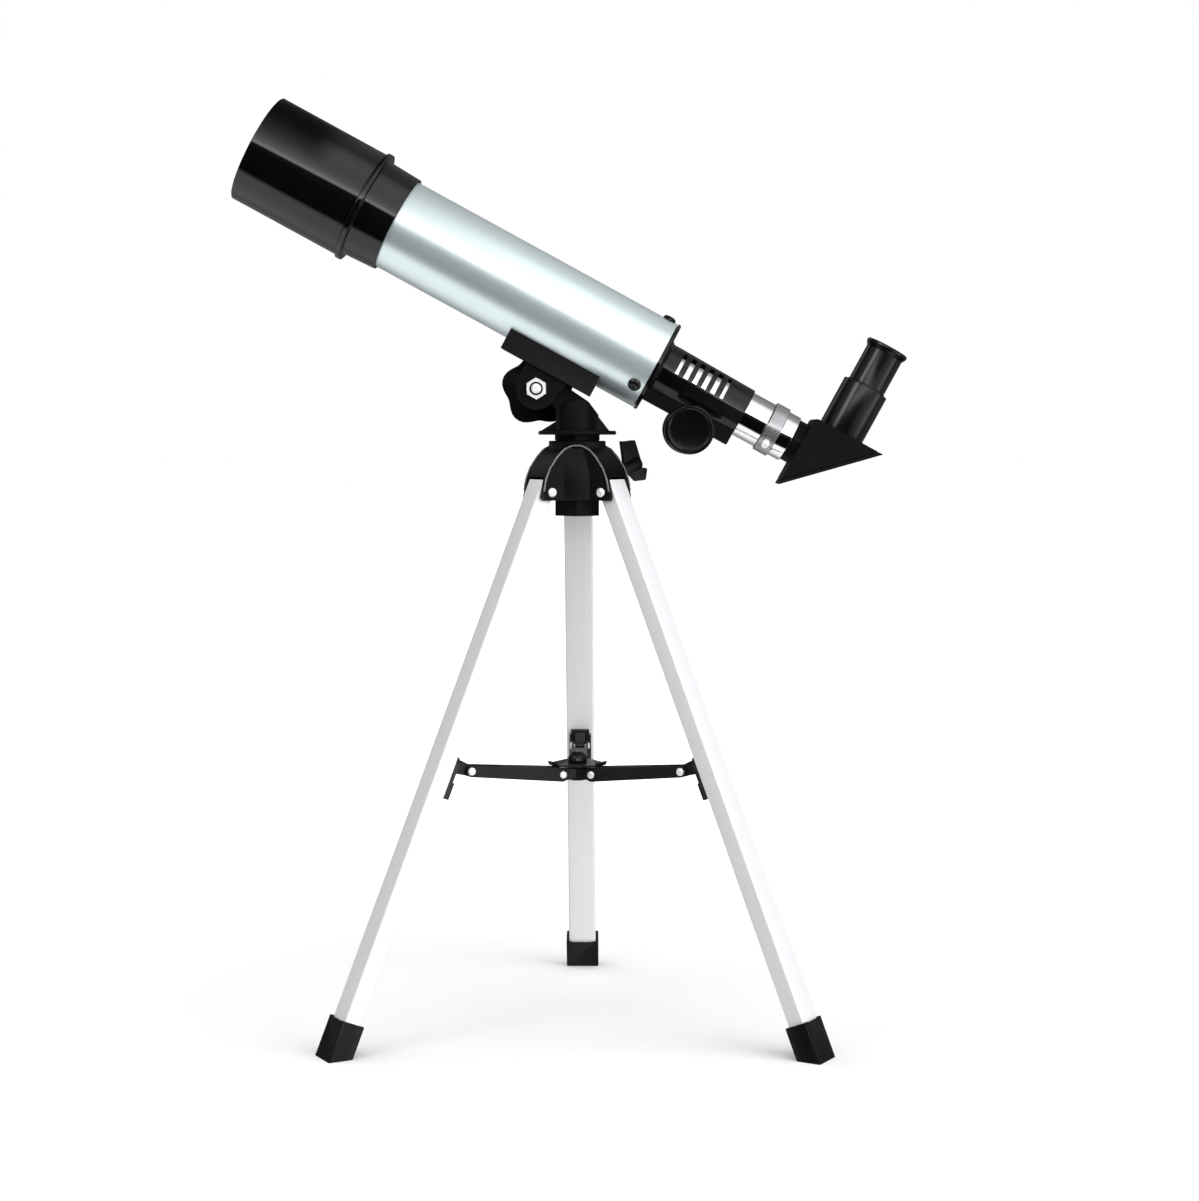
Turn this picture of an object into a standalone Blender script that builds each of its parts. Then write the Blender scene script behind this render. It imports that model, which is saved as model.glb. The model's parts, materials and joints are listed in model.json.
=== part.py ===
"""Small refracting telescope on a folding table tripod.

Metres, +Z up, +X to the eyepiece side, +Y away from the viewer. The origin is on the floor under the middle of
the whole object. Each sub-part is one object, drawn in the frame of the piece that carries it:
- tube frame: x along the tube towards the eyepiece, from the tube's rear end; y square to it, upwards;
  z towards the near side
- leg frame: origin on the leg's hinge, x outwards, y sideways, z up along the leg
"""

import math

import bmesh
import bpy
from mathutils import Matrix

GAP = 0.0003  # left between pieces that touch

# The whole object
TRIPOD_X, TRIPOD_Y = 0.0040, -0.0367  # the tripod's axis, so that the object's box is centred on the origin
TRIPOD_YAW = math.radians(-0.7)
TELESCOPE_TILT = math.radians(28.55)

# Optical tube
TUBE_RADIUS = 0.0277
TUBE_WALL = 0.001
TUBE_LENGTH = 0.188
CELL_RADIUS_REAR, CELL_RADIUS_FRONT = 0.0294, 0.0304
CELL_REAR, CELL_FLANGE = 0.1744, 0.1951  # ahead of the tube's rear end
FLANGE_RADIUS = 0.0345
FLANGE_THICK = 0.0033
SHIELD_RADIUS = 0.0331
SHIELD_FRONT = 0.2682
LENS_RADIUS = 0.0259
LENS_SAG = 0.0022

# Focuser
DRAWTUBE_RADIUS = 0.0140
DRAWTUBE_WALL = 0.0011
DRAWTUBE_IN, DRAWTUBE_OUT = -0.014, 0.0741
BARREL_BORE = DRAWTUBE_RADIUS + 0.0004
BARREL_RADIUS_FRONT, BARREL_RADIUS_REAR = 0.0164, 0.0154
BARREL_END = 0.0592
SLOT_FIRST, SLOT_PITCH, SLOT_COUNT = 0.0128, 0.006, 6
SLOT_WIDTH, END_SLOT_WIDTH = 0.0029, 0.0020
SLOT_LOW, SLOT_HIGH = 0.0012, 0.0142
GEAR_MODULE, GEAR_TEETH = 0.001, 12
GEAR_PITCH_RADIUS = GEAR_MODULE * GEAR_TEETH / 2
PINION_X, PINION_Y = 0.0350, -0.0240
RACK_FRONT, RACK_REAR = -0.008, 0.052
RACK_HALF_WIDTH = 0.0027
HOUSING_BOTTOM, HOUSING_HALF_WIDTH = -0.0210, 0.0105
KNOB_RADIUS = 0.0148
KNOB_INNER, KNOB_OUTER = 0.016, 0.027  # distances from the tube's middle plane

# Eyepiece end
COLLAR_START, COLLAR_STEP, COLLAR_END = 0.0744, 0.0833, 0.0910
COLLAR_RADIUS, COLLAR_NECK_RADIUS = 0.0156, 0.0141
ACCESSORY_RADIUS = 0.01225  # 24.5 mm barrels
ACCESSORY_BORE = 0.01255
DIAGONAL_FRONT, DIAGONAL_TIP = 0.0972, 0.1432
DIAGONAL_TOP, DIAGONAL_LOW = 0.0180, -0.0270
DIAGONAL_HALF_DEPTH = 0.0155
DIAGONAL_WALL = 0.0018
EYEPIECE_X = 0.1162
SOCKET_RADIUS, SOCKET_TOP = 0.0141, 0.0486
EYEPIECE_TOP = 0.0758

# Altitude joint and head
PIVOT_X, PIVOT_Z = -0.0240, 0.3844  # from the tripod's axis, and above the floor
PIVOT_TUBE_X, PIVOT_TUBE_Y = -0.0557, -0.0459  # the same pivot in the tube frame
SADDLE_FRONT, SADDLE_REAR, SADDLE_BOTTOM = -0.0856, -0.0260, -0.0348
SADDLE_HALF_WIDTH = 0.0173
CHEEK_INNER, CHEEK_OUTER = 0.0089, 0.0135
BOSS_RADIUS = 0.0124
TONGUE_HALF_WIDTH, TONGUE_RADIUS = 0.0077, 0.0103
BOLT_RADIUS = 0.0029
LOBE_COUNT, LOBE_RADIUS, LOBE_VALLEY = 5, 0.0222, 0.0186
ALTITUDE_KNOB_INNER, ALTITUDE_KNOB_OUTER = 0.0182, 0.0275
PAN_RADIUS, PAN_BOTTOM, PAN_THICK = 0.0233, 0.3572, 0.0024
NECK_RADIUS = 0.0127
HUB_TOP, HUB_FLANGE_RADIUS = 0.3536, 0.0170

# Tripod hub
POST_HALF_WIDTH, POST_BOTTOM = 0.0130, 0.3090
EAR_BOTTOM = 0.3184
LEG_HINGE_R, LEG_HINGE_Z = 0.0242, 0.3233
LEG_SLOT_HALF_WIDTH, LEG_SLOT_TOP, LEG_SLOT_INNER = 0.0091, 0.3322, 0.0154
LOCK_ANGLE, LOCK_RISE = math.radians(30), math.radians(24.4)
LOCK_Z = 0.3215  # where the lock screw's axis meets the tripod's

# Legs
LEG_ANGLES = {"rear": math.radians(90), "left": math.radians(-150), "right": math.radians(-30)}
LEG_TILT = math.radians(22.6)
LEG_IN, LEG_OUT, LEG_HALF_WIDTH = -0.00415, 0.00635, 0.0088
LEG_WALL = 0.0010
LEG_TOP, LEG_BOTTOM = 0.0055, -0.3420
FOOT_WALL, FOOT_BOTTOM = 0.0015, -0.3560
FOOT_PRONG_TOP, FOOT_WALL_TOP = -0.3240, -0.3290

# Spreader
ARM_OUTER_R, ARM_OUTER_Z = 0.0734, 0.1602
ARM_INNER_R, ARM_INNER_Z = 0.0125, 0.1539
ARM_HALF_WIDTH, ARM_HALF_HEIGHT, ARM_WALL = 0.0050, 0.0043, 0.0011
TAB_HALF_WIDTH, TAB_RADIUS = 0.0036, 0.0034
BRACKET_THICK, BRACKET_RIB = 0.0024, 0.0046
BRACKET_BELOW, BRACKET_RIB_TOP = 0.0205, 0.0100  # below the arm's outer pivot
SPREADER_PLATE_Z, SPREADER_PLATE_R, SPREADER_PLATE_THICK = 0.1589, 0.0164, 0.0012


# ---------------------------------------------------------------- scene and helpers


def clear_scene():
    for obj in list(bpy.data.objects):
        bpy.data.objects.remove(obj)


def new_collection(name):
    collection = bpy.data.collections.new(name)
    bpy.context.scene.collection.children.link(collection)
    return collection


clear_scene()
PARTS = new_collection("telescope_on_tripod")
CUTTERS = new_collection("cutters")
CUTTERS.hide_render = True


def material(name, colour, roughness, metallic=0.0, transmission=0.0):
    made = bpy.data.materials.new(name)
    made.use_nodes = True
    shader = made.node_tree.nodes["Principled BSDF"]
    shader.inputs["Base Color"].default_value = (*colour, 1.0)
    shader.inputs["Roughness"].default_value = roughness
    shader.inputs["Metallic"].default_value = metallic
    shader.inputs["Transmission Weight"].default_value = transmission
    return made


PEARL = material("pearl_paint", (0.72, 0.79, 0.79), 0.28, 0.55)
GLOSS = material("gloss_black", (0.012, 0.012, 0.013), 0.18)
SATIN = material("satin_black", (0.020, 0.020, 0.022), 0.45)
ALUMINIUM = material("satin_aluminium", (0.86, 0.86, 0.88), 0.35, 0.8)
CHROME = material("chrome", (0.85, 0.85, 0.87), 0.08, 1.0)
STEEL = material("zinc_steel", (0.75, 0.75, 0.76), 0.25, 1.0)
BLACK_STEEL = material("black_steel", (0.018, 0.018, 0.020), 0.35, 0.3)
GLASS = material("lens_glass", (0.92, 0.96, 0.98), 0.02, 0.0, 0.9)
MIRROR = material("mirror", (0.9, 0.9, 0.92), 0.03, 1.0)
RACK = material("white_nylon", (0.55, 0.55, 0.56), 0.4)


def place(name, data, finish, parent, location=(0, 0, 0), rotation=(0, 0, 0)):
    """A new object in its carrier's frame: a part if it has a finish, else a cutter or a joined-on shape."""
    obj = bpy.data.objects.new(name, data)
    obj.parent = parent
    obj.location = location
    obj.rotation_euler = rotation
    if finish:
        data.materials.append(finish)
        PARTS.objects.link(obj)
    else:
        obj.hide_render = True
        obj.display_type = "WIRE"
        CUTTERS.objects.link(obj)
    return obj


def frame(name, parent, location=(0, 0, 0), rotation=(0, 0, 0)):
    empty = bpy.data.objects.new(name, None)
    empty.parent = parent
    empty.location = location
    empty.rotation_euler = rotation
    PARTS.objects.link(empty)
    return empty


def box(name, finish, parent, low, high, location=(0, 0, 0), rotation=(0, 0, 0)):
    """A box between two corners."""
    solid = bmesh.new()
    bmesh.ops.create_cube(solid, size=1.0)
    size = [b - a for a, b in zip(low, high)]
    middle = [(a + b) / 2 for a, b in zip(low, high)]
    bmesh.ops.scale(solid, vec=size, verts=solid.verts)
    bmesh.ops.translate(solid, vec=middle, verts=solid.verts)
    mesh = bpy.data.meshes.new(name)
    solid.to_mesh(mesh)
    solid.free()
    return place(name, mesh, finish, parent, location, rotation)


def cylinder(name, finish, parent, radius, start, end, location=(0, 0, 0), rotation=(0, 0, 0), sides=24):
    """A cylinder along z, from start to end."""
    solid = bmesh.new()
    bmesh.ops.create_cone(
        solid, cap_ends=True, segments=sides, radius1=radius, radius2=radius, depth=end - start
    )
    bmesh.ops.translate(solid, vec=(0, 0, (start + end) / 2), verts=solid.verts)
    mesh = bpy.data.meshes.new(name)
    solid.to_mesh(mesh)
    solid.free()
    mesh.shade_smooth()
    mesh.set_sharp_from_angle(angle=math.radians(35))
    return place(name, mesh, finish, parent, location, rotation)


def turned(name, finish, parent, profile, location=(0, 0, 0), rotation=(0, 0, 0), steps=32):
    """A profile of (radius, height) turned about z: a ring if it keeps off the axis, else a solid of revolution.

    It runs down the outer side, and a ring's then back up the inner side.
    """
    mesh = bpy.data.meshes.new(name)
    edges = [(i, i + 1) for i in range(len(profile) - 1)]
    if profile[0][0] > 0:
        edges.append((len(profile) - 1, 0))
    mesh.from_pydata([(radius, 0, height) for radius, height in profile], edges, [])
    obj = place(name, mesh, finish, parent, location, rotation)
    turn = obj.modifiers.new("turn", "SCREW")
    turn.axis = "Z"
    turn.steps = steps
    turn.render_steps = steps
    turn.use_merge_vertices = True
    turn.merge_threshold = 0.00001
    turn.use_smooth_shade = True
    return obj


def plate(name, finish, parent, outline, start, end, location=(0, 0, 0), rotation=(0, 0, 0)):
    """A flat outline in x and y, solid from z = start to z = end."""
    curve = bpy.data.curves.new(name + "_outline", "CURVE")
    curve.dimensions = "2D"
    curve.fill_mode = "BOTH"
    curve.extrude = abs(end - start) / 2
    spline = curve.splines.new("POLY")
    spline.points.add(len(outline) - 1)
    for point, (x, y) in zip(spline.points, outline):
        point.co = (x, y, 0, 1)
    spline.use_cyclic_u = True
    drawn = bpy.data.objects.new(name + "_outline", curve)
    CUTTERS.objects.link(drawn)
    graph = bpy.context.evaluated_depsgraph_get()
    mesh = bpy.data.meshes.new_from_object(drawn.evaluated_get(graph))
    bpy.data.objects.remove(drawn)
    solid = bmesh.new()
    solid.from_mesh(mesh)
    bmesh.ops.remove_doubles(solid, verts=solid.verts, dist=0.000005)
    bmesh.ops.recalc_face_normals(solid, faces=solid.faces)
    bmesh.ops.translate(solid, vec=(0, 0, (start + end) / 2), verts=solid.verts)
    solid.to_mesh(mesh)
    solid.free()
    mesh.name = name
    mesh.shade_smooth()
    mesh.set_sharp_from_angle(angle=math.radians(35))
    return place(name, mesh, finish, parent, location, rotation)


def boolean(target, others, operation):
    for other in others:
        step = target.modifiers.new(operation.lower(), "BOOLEAN")
        step.operation = operation
        step.object = other
        step.solver = "EXACT"
    return target


def cut(target, *cutters):
    return boolean(target, cutters, "DIFFERENCE")


def join(target, *others):
    return boolean(target, others, "UNION")


def round_edges(obj, width, segments=2, angle=35):
    step = obj.modifiers.new("rounding", "BEVEL")
    step.width = width
    step.segments = segments
    step.limit_method = "ANGLE"
    step.angle_limit = math.radians(angle)
    return obj


def arc(centre_x, centre_y, radius, start, end, count):
    """Points along an arc, with its angles in degrees."""
    angles = [math.radians(start + (end - start) * i / (count - 1)) for i in range(count)]
    return [(centre_x + radius * math.cos(a), centre_y + radius * math.sin(a)) for a in angles]


def screw(name, finish, parent, head_radius, head_height, shank_radius, length, location, rotation, steps=16):
    """A domed screw: its head stands on z = 0 and its shank goes down to z = -length."""
    profile = [(0, head_height)]
    profile += [(head_radius * 0.70, head_height * 0.86), (head_radius, head_height * 0.35)]
    profile += [(head_radius, 0), (shank_radius, 0), (shank_radius, -length), (0, -length)]
    return turned(name, finish, parent, profile, location, rotation, steps)


# ---------------------------------------------------------------- frames

ALONG_TUBE = (0, math.radians(90), 0)  # turns a piece's z to the tube frame's x
UP_FROM_TUBE = (math.radians(-90), 0, 0)  # turns a piece's z to the tube frame's y
TO_VIEWER = (math.radians(90), 0, 0)  # turns x, y, z to right, up and near

TRIPOD = frame("tripod_axis", None, (TRIPOD_X, TRIPOD_Y, 0))
YAWED = frame("tripod_yaw", TRIPOD, rotation=(0, 0, TRIPOD_YAW))
ALTITUDE = frame("altitude_axis", TRIPOD, (PIVOT_X, 0, PIVOT_Z), (math.radians(90), TELESCOPE_TILT, 0))
TUBE = frame("tube_frame", ALTITUDE, (-PIVOT_TUBE_X, -PIVOT_TUBE_Y, 0))
FOCUS = frame("focus_axis", TUBE, (PINION_X, PINION_Y, 0))
HOLDER = frame("eyepiece_holder_axis", TUBE, (0, 0, 0), ALONG_TUBE)
EYEPIECE = frame("eyepiece_axis", TUBE, (EYEPIECE_X, 0, 0), UP_FROM_TUBE)
HEAD = frame("head_frame", TRIPOD, rotation=TO_VIEWER)


# ---------------------------------------------------------------- optical tube


def tube_screw_place(angle, depth=TUBE_RADIUS + GAP):
    """Where a screw stands on the tube 6 mm from its rear end: 0 degrees faces the viewer, 90 is the top."""
    a = math.radians(angle)
    place_of = (-0.006, depth * math.sin(a), depth * math.cos(a))
    return place_of, (math.radians(-angle), 0, 0)


TUBE_SCREW_ANGLES = {"top": 84, "near": -36, "far": 204}


def tube_screw_holes(prefix):
    holes = []
    for side, angle in TUBE_SCREW_ANGLES.items():
        location, rotation = tube_screw_place(angle, 0.0)
        holes.append(
            cylinder(f"{prefix}_{side}", None, TUBE, 0.0019, 0.020, 0.034, (-0.006, 0, 0), rotation, 12)
        )
    return holes


def optical_tube():
    bore = TUBE_RADIUS - TUBE_WALL
    outline = [(bore, -GAP), (TUBE_RADIUS, -GAP), (TUBE_RADIUS, -TUBE_LENGTH), (bore, -TUBE_LENGTH)]
    tube = turned("optical_tube", PEARL, TUBE, outline, rotation=ALONG_TUBE, steps=40)
    holes = tube_screw_holes("tube_hole")
    for end, x in (("front", -0.078), ("rear", -0.034)):
        holes.append(
            cylinder(f"saddle_hole_{end}", None, TUBE, 0.0019, -0.034, -0.020, (x, 0, 0), UP_FROM_TUBE, 12)
        )
    cut(tube, *holes)
    for side, angle in TUBE_SCREW_ANGLES.items():
        location, rotation = tube_screw_place(angle)
        screw(f"tube_screw_{side}", BLACK_STEEL, TUBE, 0.0040, 0.0021, 0.0015, 0.0040, location, rotation)


def tube_baffle():
    outline = [(0.0205, -0.100), (0.0264, -0.100), (0.0264, -0.107)]
    outline += [(0.0254, -0.107), (0.0254, -0.1012), (0.0205, -0.1012)]
    turned("tube_baffle", SATIN, TUBE, outline, rotation=ALONG_TUBE)


def objective_cell():
    seat = LENS_RADIUS + GAP
    lip_front = CELL_FLANGE + FLANGE_THICK + 0.0090
    outline = [(TUBE_RADIUS + GAP, -CELL_REAR), (CELL_RADIUS_REAR, -CELL_REAR), (CELL_RADIUS_FRONT, -CELL_FLANGE)]
    outline += [(FLANGE_RADIUS, -CELL_FLANGE), (FLANGE_RADIUS, -CELL_FLANGE - FLANGE_THICK)]
    outline += [(0.0296, -CELL_FLANGE - FLANGE_THICK), (0.0296, -lip_front), (seat, -lip_front)]
    outline += [(seat, -0.1925), (0.0250, -0.1925), (0.0250, -0.1883), (TUBE_RADIUS + GAP, -0.1883)]
    turned("objective_cell", GLOSS, TUBE, outline, rotation=ALONG_TUBE, steps=36)


def dew_shield():
    rear = CELL_FLANGE + FLANGE_THICK + GAP
    radius, step = SHIELD_RADIUS, rear + 0.0100
    outline = [(0.0299, -rear), (radius - 0.0004, -rear), (radius, -rear - 0.0004), (radius, -SHIELD_FRONT + 0.0005)]
    outline += [(radius - 0.0003, -SHIELD_FRONT), (radius - 0.0014, -SHIELD_FRONT)]
    outline += [(radius - 0.0019, -step), (0.0299, -step)]
    turned("dew_shield", GLOSS, TUBE, outline, rotation=ALONG_TUBE, steps=36)


def lens(name, parent, radius, rear, front, rear_sag, front_sag, rotation):
    """A round lens between two edge heights: a positive sag bulges outwards, a negative one is hollow."""
    rings = 4
    face = [radius * i / (rings - 1) for i in range(rings)]
    top = [(r, front + front_sag * (1 - (r / radius) ** 2)) for r in face]
    bottom = [(r, rear - rear_sag * (1 - (r / radius) ** 2)) for r in reversed(face)]
    return turned(name, GLASS, parent, top + bottom, rotation=rotation, steps=28)


def objective_lenses():
    """Heights run forwards here, so that each lens is drawn on an axis that points to the sky."""
    forwards = (0, math.radians(-90), 0)
    lens("objective_flint_lens", TUBE, LENS_RADIUS, 0.1931, 0.1977, 0.0, -LENS_SAG, forwards)
    lens("objective_crown_lens", TUBE, LENS_RADIUS, 0.1980, 0.2010, LENS_SAG, LENS_SAG, forwards)
    outline = [(0.0240, -0.2017), (LENS_RADIUS, -0.2017), (LENS_RADIUS, -0.2056), (0.0244, -0.2056)]
    turned("lens_retaining_ring", SATIN, TUBE, outline, rotation=ALONG_TUBE)


# ---------------------------------------------------------------- focuser


def focuser_barrel():
    """The turned part of the housing: a spigot in the tube, the rear plate and the barrel."""
    outline = [(BARREL_BORE, BARREL_END), (BARREL_RADIUS_REAR, BARREL_END), (BARREL_RADIUS_FRONT, 0.0090)]
    outline += [(0.0164, 0.0040), (0.0180, 0.0024), (0.0275, 0.0022), (0.02825, 0.0016), (0.02825, 0.0)]
    outline += [(0.0263, 0.0), (0.0263, -0.0120)]
    outline += [(0.0243, -0.0120), (0.0243, -0.0005), (BARREL_BORE, 0.0015)]
    return turned("focuser_housing", GLOSS, TUBE, outline, rotation=ALONG_TUBE, steps=28)


def focuser_housing():
    housing = focuser_barrel()
    width = HOUSING_HALF_WIDTH
    body = box("housing_body", None, TUBE, (0.0010, HOUSING_BOTTOM, -width), (BARREL_END - 0.0002, -0.003, width))
    boss = box(
        "housing_boss", None, TUBE, (PINION_X - 0.010, -0.0310, -width), (PINION_X + 0.010, -0.0200, width)
    )
    join(housing, body, boss)
    bore = cylinder("housing_bore", None, TUBE, BARREL_BORE, -0.0004, BARREL_END + 0.002, (0, 0, 0), ALONG_TUBE, 28)
    half = RACK_HALF_WIDTH + 0.0004
    rack_way = box("rack_way", None, TUBE, (-0.001, -0.0196, -half), (BARREL_END + 0.002, 0, half))
    pocket = cylinder("pinion_pocket", None, FOCUS, 0.0076, -0.0045, 0.0045, sides=24)
    mouth = box("pinion_mouth", None, FOCUS, (-0.0076, -0.009, -0.0045), (0.0076, 0, 0.0045))
    shaft_hole = cylinder("shaft_hole", None, FOCUS, 0.0023, -0.013, 0.013, sides=16)
    cut(housing, bore, rack_way, pocket, mouth, shaft_hole)
    for i in range(SLOT_COUNT):
        width = END_SLOT_WIDTH if i in (0, SLOT_COUNT - 1) else SLOT_WIDTH
        x = SLOT_FIRST + SLOT_PITCH * i
        for side in (1, -1):
            depth = sorted((side * 0.0040, side * 0.0200))
            low, high = (x - width / 2, SLOT_LOW, depth[0]), (x + width / 2, SLOT_HIGH, depth[1])
            cut(housing, box("slot", None, TUBE, low, high))
    cut(housing, *tube_screw_holes("spigot_hole"))
    for x in (-0.0072, 0.0072):
        hole = cylinder("cover_hole", None, FOCUS, 0.0011, -0.0100, -0.0048, (x, 0, 0.0075), UP_FROM_TUBE, 10)
        cut(housing, hole)


def pinion_cover():
    """The plate under the pinion, held by two screws."""
    cover = box("pinion_cover", GLOSS, FOCUS, (-0.0098, -0.0092, -0.0100), (0.0098, -0.0073, 0.0100))
    round_edges(cover, 0.0004, 1)
    for name, x in (("front", -0.0072), ("rear", 0.0072)):
        hole = cylinder(f"cover_clearance_{name}", None, FOCUS, 0.0013, -0.012, -0.006, (x, 0, 0.0075), UP_FROM_TUBE, 10)
        cut(cover, hole)
        screw(
            f"pinion_cover_screw_{name}", STEEL, FOCUS, 0.0018, 0.0010, 0.0008, 0.0042,
            (x, -0.0095, 0.0075), (math.radians(90), 0, 0), 12,
        )


def tooth_outline(radius_root, radius_tip, teeth):
    """A gear's outline with straight-flanked teeth, one tooth centred straight up."""
    outline = []
    for i in range(teeth):
        middle = math.pi / 2 + 2 * math.pi * i / teeth
        pitch = 2 * math.pi / teeth
        for part, radius in ((-0.33, radius_root), (-0.13, radius_tip), (0.13, radius_tip), (0.33, radius_root)):
            angle = middle + part * pitch
            outline.append((radius * math.cos(angle), radius * math.sin(angle)))
    return outline


def focus_drive():
    """The pinion on its shaft, with a knob on each end."""
    shaft = cylinder("pinion_shaft", STEEL, FOCUS, 0.0020, -0.0250, 0.0250, sides=16)
    shaft.data.shade_smooth()
    gear = plate(
        "focus_pinion", RACK, FOCUS,
        tooth_outline(GEAR_PITCH_RADIUS - 1.25 * GEAR_MODULE, GEAR_PITCH_RADIUS + 0.85 * GEAR_MODULE, GEAR_TEETH),
        -0.0040, 0.0040,
    )
    cut(gear, cylinder("pinion_bore", None, FOCUS, 0.0020 + GAP, -0.006, 0.006, sides=16))
    radius, inner, outer = KNOB_RADIUS, KNOB_INNER, KNOB_OUTER
    for name, turn in (("near", 0.0), ("far", math.radians(180))):
        profile = [(0, outer - 0.0006), (radius - 0.0030, outer - 0.0006), (radius - 0.0016, outer)]
        profile += [(radius - 0.0004, outer - 0.0006), (radius, outer - 0.0020), (radius, inner + 0.0012)]
        profile += [(radius - 0.0008, inner), (0.0062, inner), (0.0062, 0.0112), (0.0020 + GAP, 0.0112)]
        profile += [(0.0020 + GAP, 0.0253), (0, 0.0253)]
        turned(f"focus_knob_{name}", GLOSS, FOCUS, profile, rotation=(0, turn, 0), steps=28)


def focus_rack():
    """A toothed strip along the underside of the drawtube, in mesh with the pinion below it."""
    pitch = math.pi * GEAR_MODULE
    pitch_line = PINION_Y + GEAR_PITCH_RADIUS
    root, tip = pitch_line + 1.25 * GEAR_MODULE, pitch_line - 0.85 * GEAR_MODULE
    top = -DRAWTUBE_RADIUS - GAP
    teeth = []
    first = math.ceil((RACK_FRONT + 0.001 - PINION_X) / pitch - 0.5)
    last = math.floor((RACK_REAR - 0.001 - PINION_X) / pitch - 0.5)
    for i in range(first, last + 1):
        x = PINION_X + (i + 0.5) * pitch
        for part, y in ((-0.36, root), (-0.13, tip), (0.13, tip), (0.36, root)):
            teeth.append((x + part * pitch, y))
    outline = [(RACK_REAR, top), (RACK_FRONT, top), (RACK_FRONT, root)] + teeth + [(RACK_REAR, root)]
    plate("focus_rack", RACK, TUBE, outline, -RACK_HALF_WIDTH, RACK_HALF_WIDTH)


def drawtube():
    bore = DRAWTUBE_RADIUS - DRAWTUBE_WALL
    outline = [(bore, DRAWTUBE_OUT), (DRAWTUBE_RADIUS, DRAWTUBE_OUT), (DRAWTUBE_RADIUS, DRAWTUBE_IN)]
    outline += [(bore, DRAWTUBE_IN)]
    turned("drawtube", CHROME, TUBE, outline, rotation=ALONG_TUBE, steps=28)


COLLAR_SCREW_X, COLLAR_SCREW_ANGLE = 0.0788, -33


def drawtube_collar():
    outline = [(ACCESSORY_BORE, COLLAR_END), (COLLAR_NECK_RADIUS - 0.0003, COLLAR_END)]
    outline += [(COLLAR_NECK_RADIUS, COLLAR_END - 0.0003), (COLLAR_NECK_RADIUS, COLLAR_STEP)]
    outline += [(COLLAR_RADIUS - 0.0005, COLLAR_STEP), (COLLAR_RADIUS, COLLAR_STEP - 0.0006)]
    outline += [(COLLAR_RADIUS, COLLAR_START), (ACCESSORY_BORE, COLLAR_START)]
    collar = turned("drawtube_collar", CHROME, HOLDER, outline, steps=28)
    tilt = (math.radians(-COLLAR_SCREW_ANGLE), 0, 0)
    place_of = (COLLAR_SCREW_X, 0, 0)
    cut(collar, cylinder("collar_screw_hole", None, TUBE, 0.0017, 0.010, 0.020, place_of, tilt, 12))
    profile = [(0, 0.0198), (0.0019, 0.0198), (0.0023, 0.0194), (0.0023, 0.0162), (0.0014, 0.0162)]
    profile += [(0.0014, 0.0127), (0, 0.0127)]
    turned("collar_screw", CHROME, TUBE, profile, place_of, tilt, 16)


# ---------------------------------------------------------------- diagonal and eyepiece


def diagonal_outline(inset=0.0, back=0.0):
    """The housing's triangle in side view, drawn in by inset, and short of its long side by back."""
    slope = (DIAGONAL_TOP - DIAGONAL_LOW) / (DIAGONAL_TIP - DIAGONAL_FRONT)
    lean = math.sqrt(1 + slope * slope)
    left, top = DIAGONAL_FRONT + inset, DIAGONAL_TOP - inset
    low = DIAGONAL_LOW + slope * inset + back * lean
    right = DIAGONAL_TIP - inset / slope - back * lean / slope
    return left, top, low, right


def diagonal_housing():
    depth, wall = DIAGONAL_HALF_DEPTH, DIAGONAL_WALL
    left, top, low, right = diagonal_outline(0, 0.0024)
    corner = arc(left + 0.0028, top - 0.0028, 0.0028, 90, 180, 5)
    housing = plate("diagonal_housing", SATIN, TUBE, corner + [(left, low), (right, top)], -depth, depth)
    left, top, low, right = diagonal_outline(wall, -0.004)
    hollow = plate("diagonal_hollow", None, TUBE, [(left, top), (left, low), (right, top)], wall - depth, depth - wall)
    nose = turned(
        "diagonal_nose", None, HOLDER,
        [(0.0117, DIAGONAL_FRONT + 0.001), (0.0130, DIAGONAL_FRONT + 0.001), (0.0130, COLLAR_END + GAP),
         (0.0117, COLLAR_END + GAP)], steps=32,
    )
    join(housing, nose)
    barrel_hole = cylinder("barrel_hole", None, HOLDER, ACCESSORY_RADIUS + GAP, 0.085, 0.100, sides=32)
    socket_hole = cylinder("socket_hole", None, EYEPIECE, 0.0135, 0.008, 0.020, sides=32)
    cut(housing, hollow, barrel_hole, socket_hole)


def diagonal_cover():
    """The lid on the housing's long side."""
    _, top, low, _ = diagonal_outline(0, 0)
    slope = (DIAGONAL_TOP - DIAGONAL_LOW) / (DIAGONAL_TIP - DIAGONAL_FRONT)
    lean = math.sqrt(1 + slope * slope)
    inner = 0.0024 - GAP
    _, _, inner_low, inner_right = diagonal_outline(0, inner)
    outline = [(DIAGONAL_FRONT, low), (DIAGONAL_TIP, top), (inner_right, top), (DIAGONAL_FRONT, inner_low)]
    depth = DIAGONAL_HALF_DEPTH
    plate("diagonal_cover", SATIN, TUBE, outline, -depth, depth)
    # the mirror lies inside, square to the line that halves the right angle between the two axes
    shift = 0.0030 * lean
    thick = 0.0026 * lean
    near = DIAGONAL_WALL + 0.0010
    first = (DIAGONAL_FRONT + 0.0115, DIAGONAL_LOW + slope * 0.0115 + shift)
    last = (DIAGONAL_FRONT + 0.0340, DIAGONAL_LOW + slope * 0.0340 + shift)
    outline = [first, last, (last[0], last[1] + thick), (first[0], first[1] + thick)]
    plate("diagonal_mirror", MIRROR, TUBE, outline, near - depth, depth - near)


def diagonal_barrel():
    end = DIAGONAL_FRONT + 0.0016
    outline = [(0.0112, end), (ACCESSORY_RADIUS, end), (ACCESSORY_RADIUS, 0.0760), (0.0112, 0.0760)]
    turned("diagonal_barrel", CHROME, HOLDER, outline, steps=32)


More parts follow.
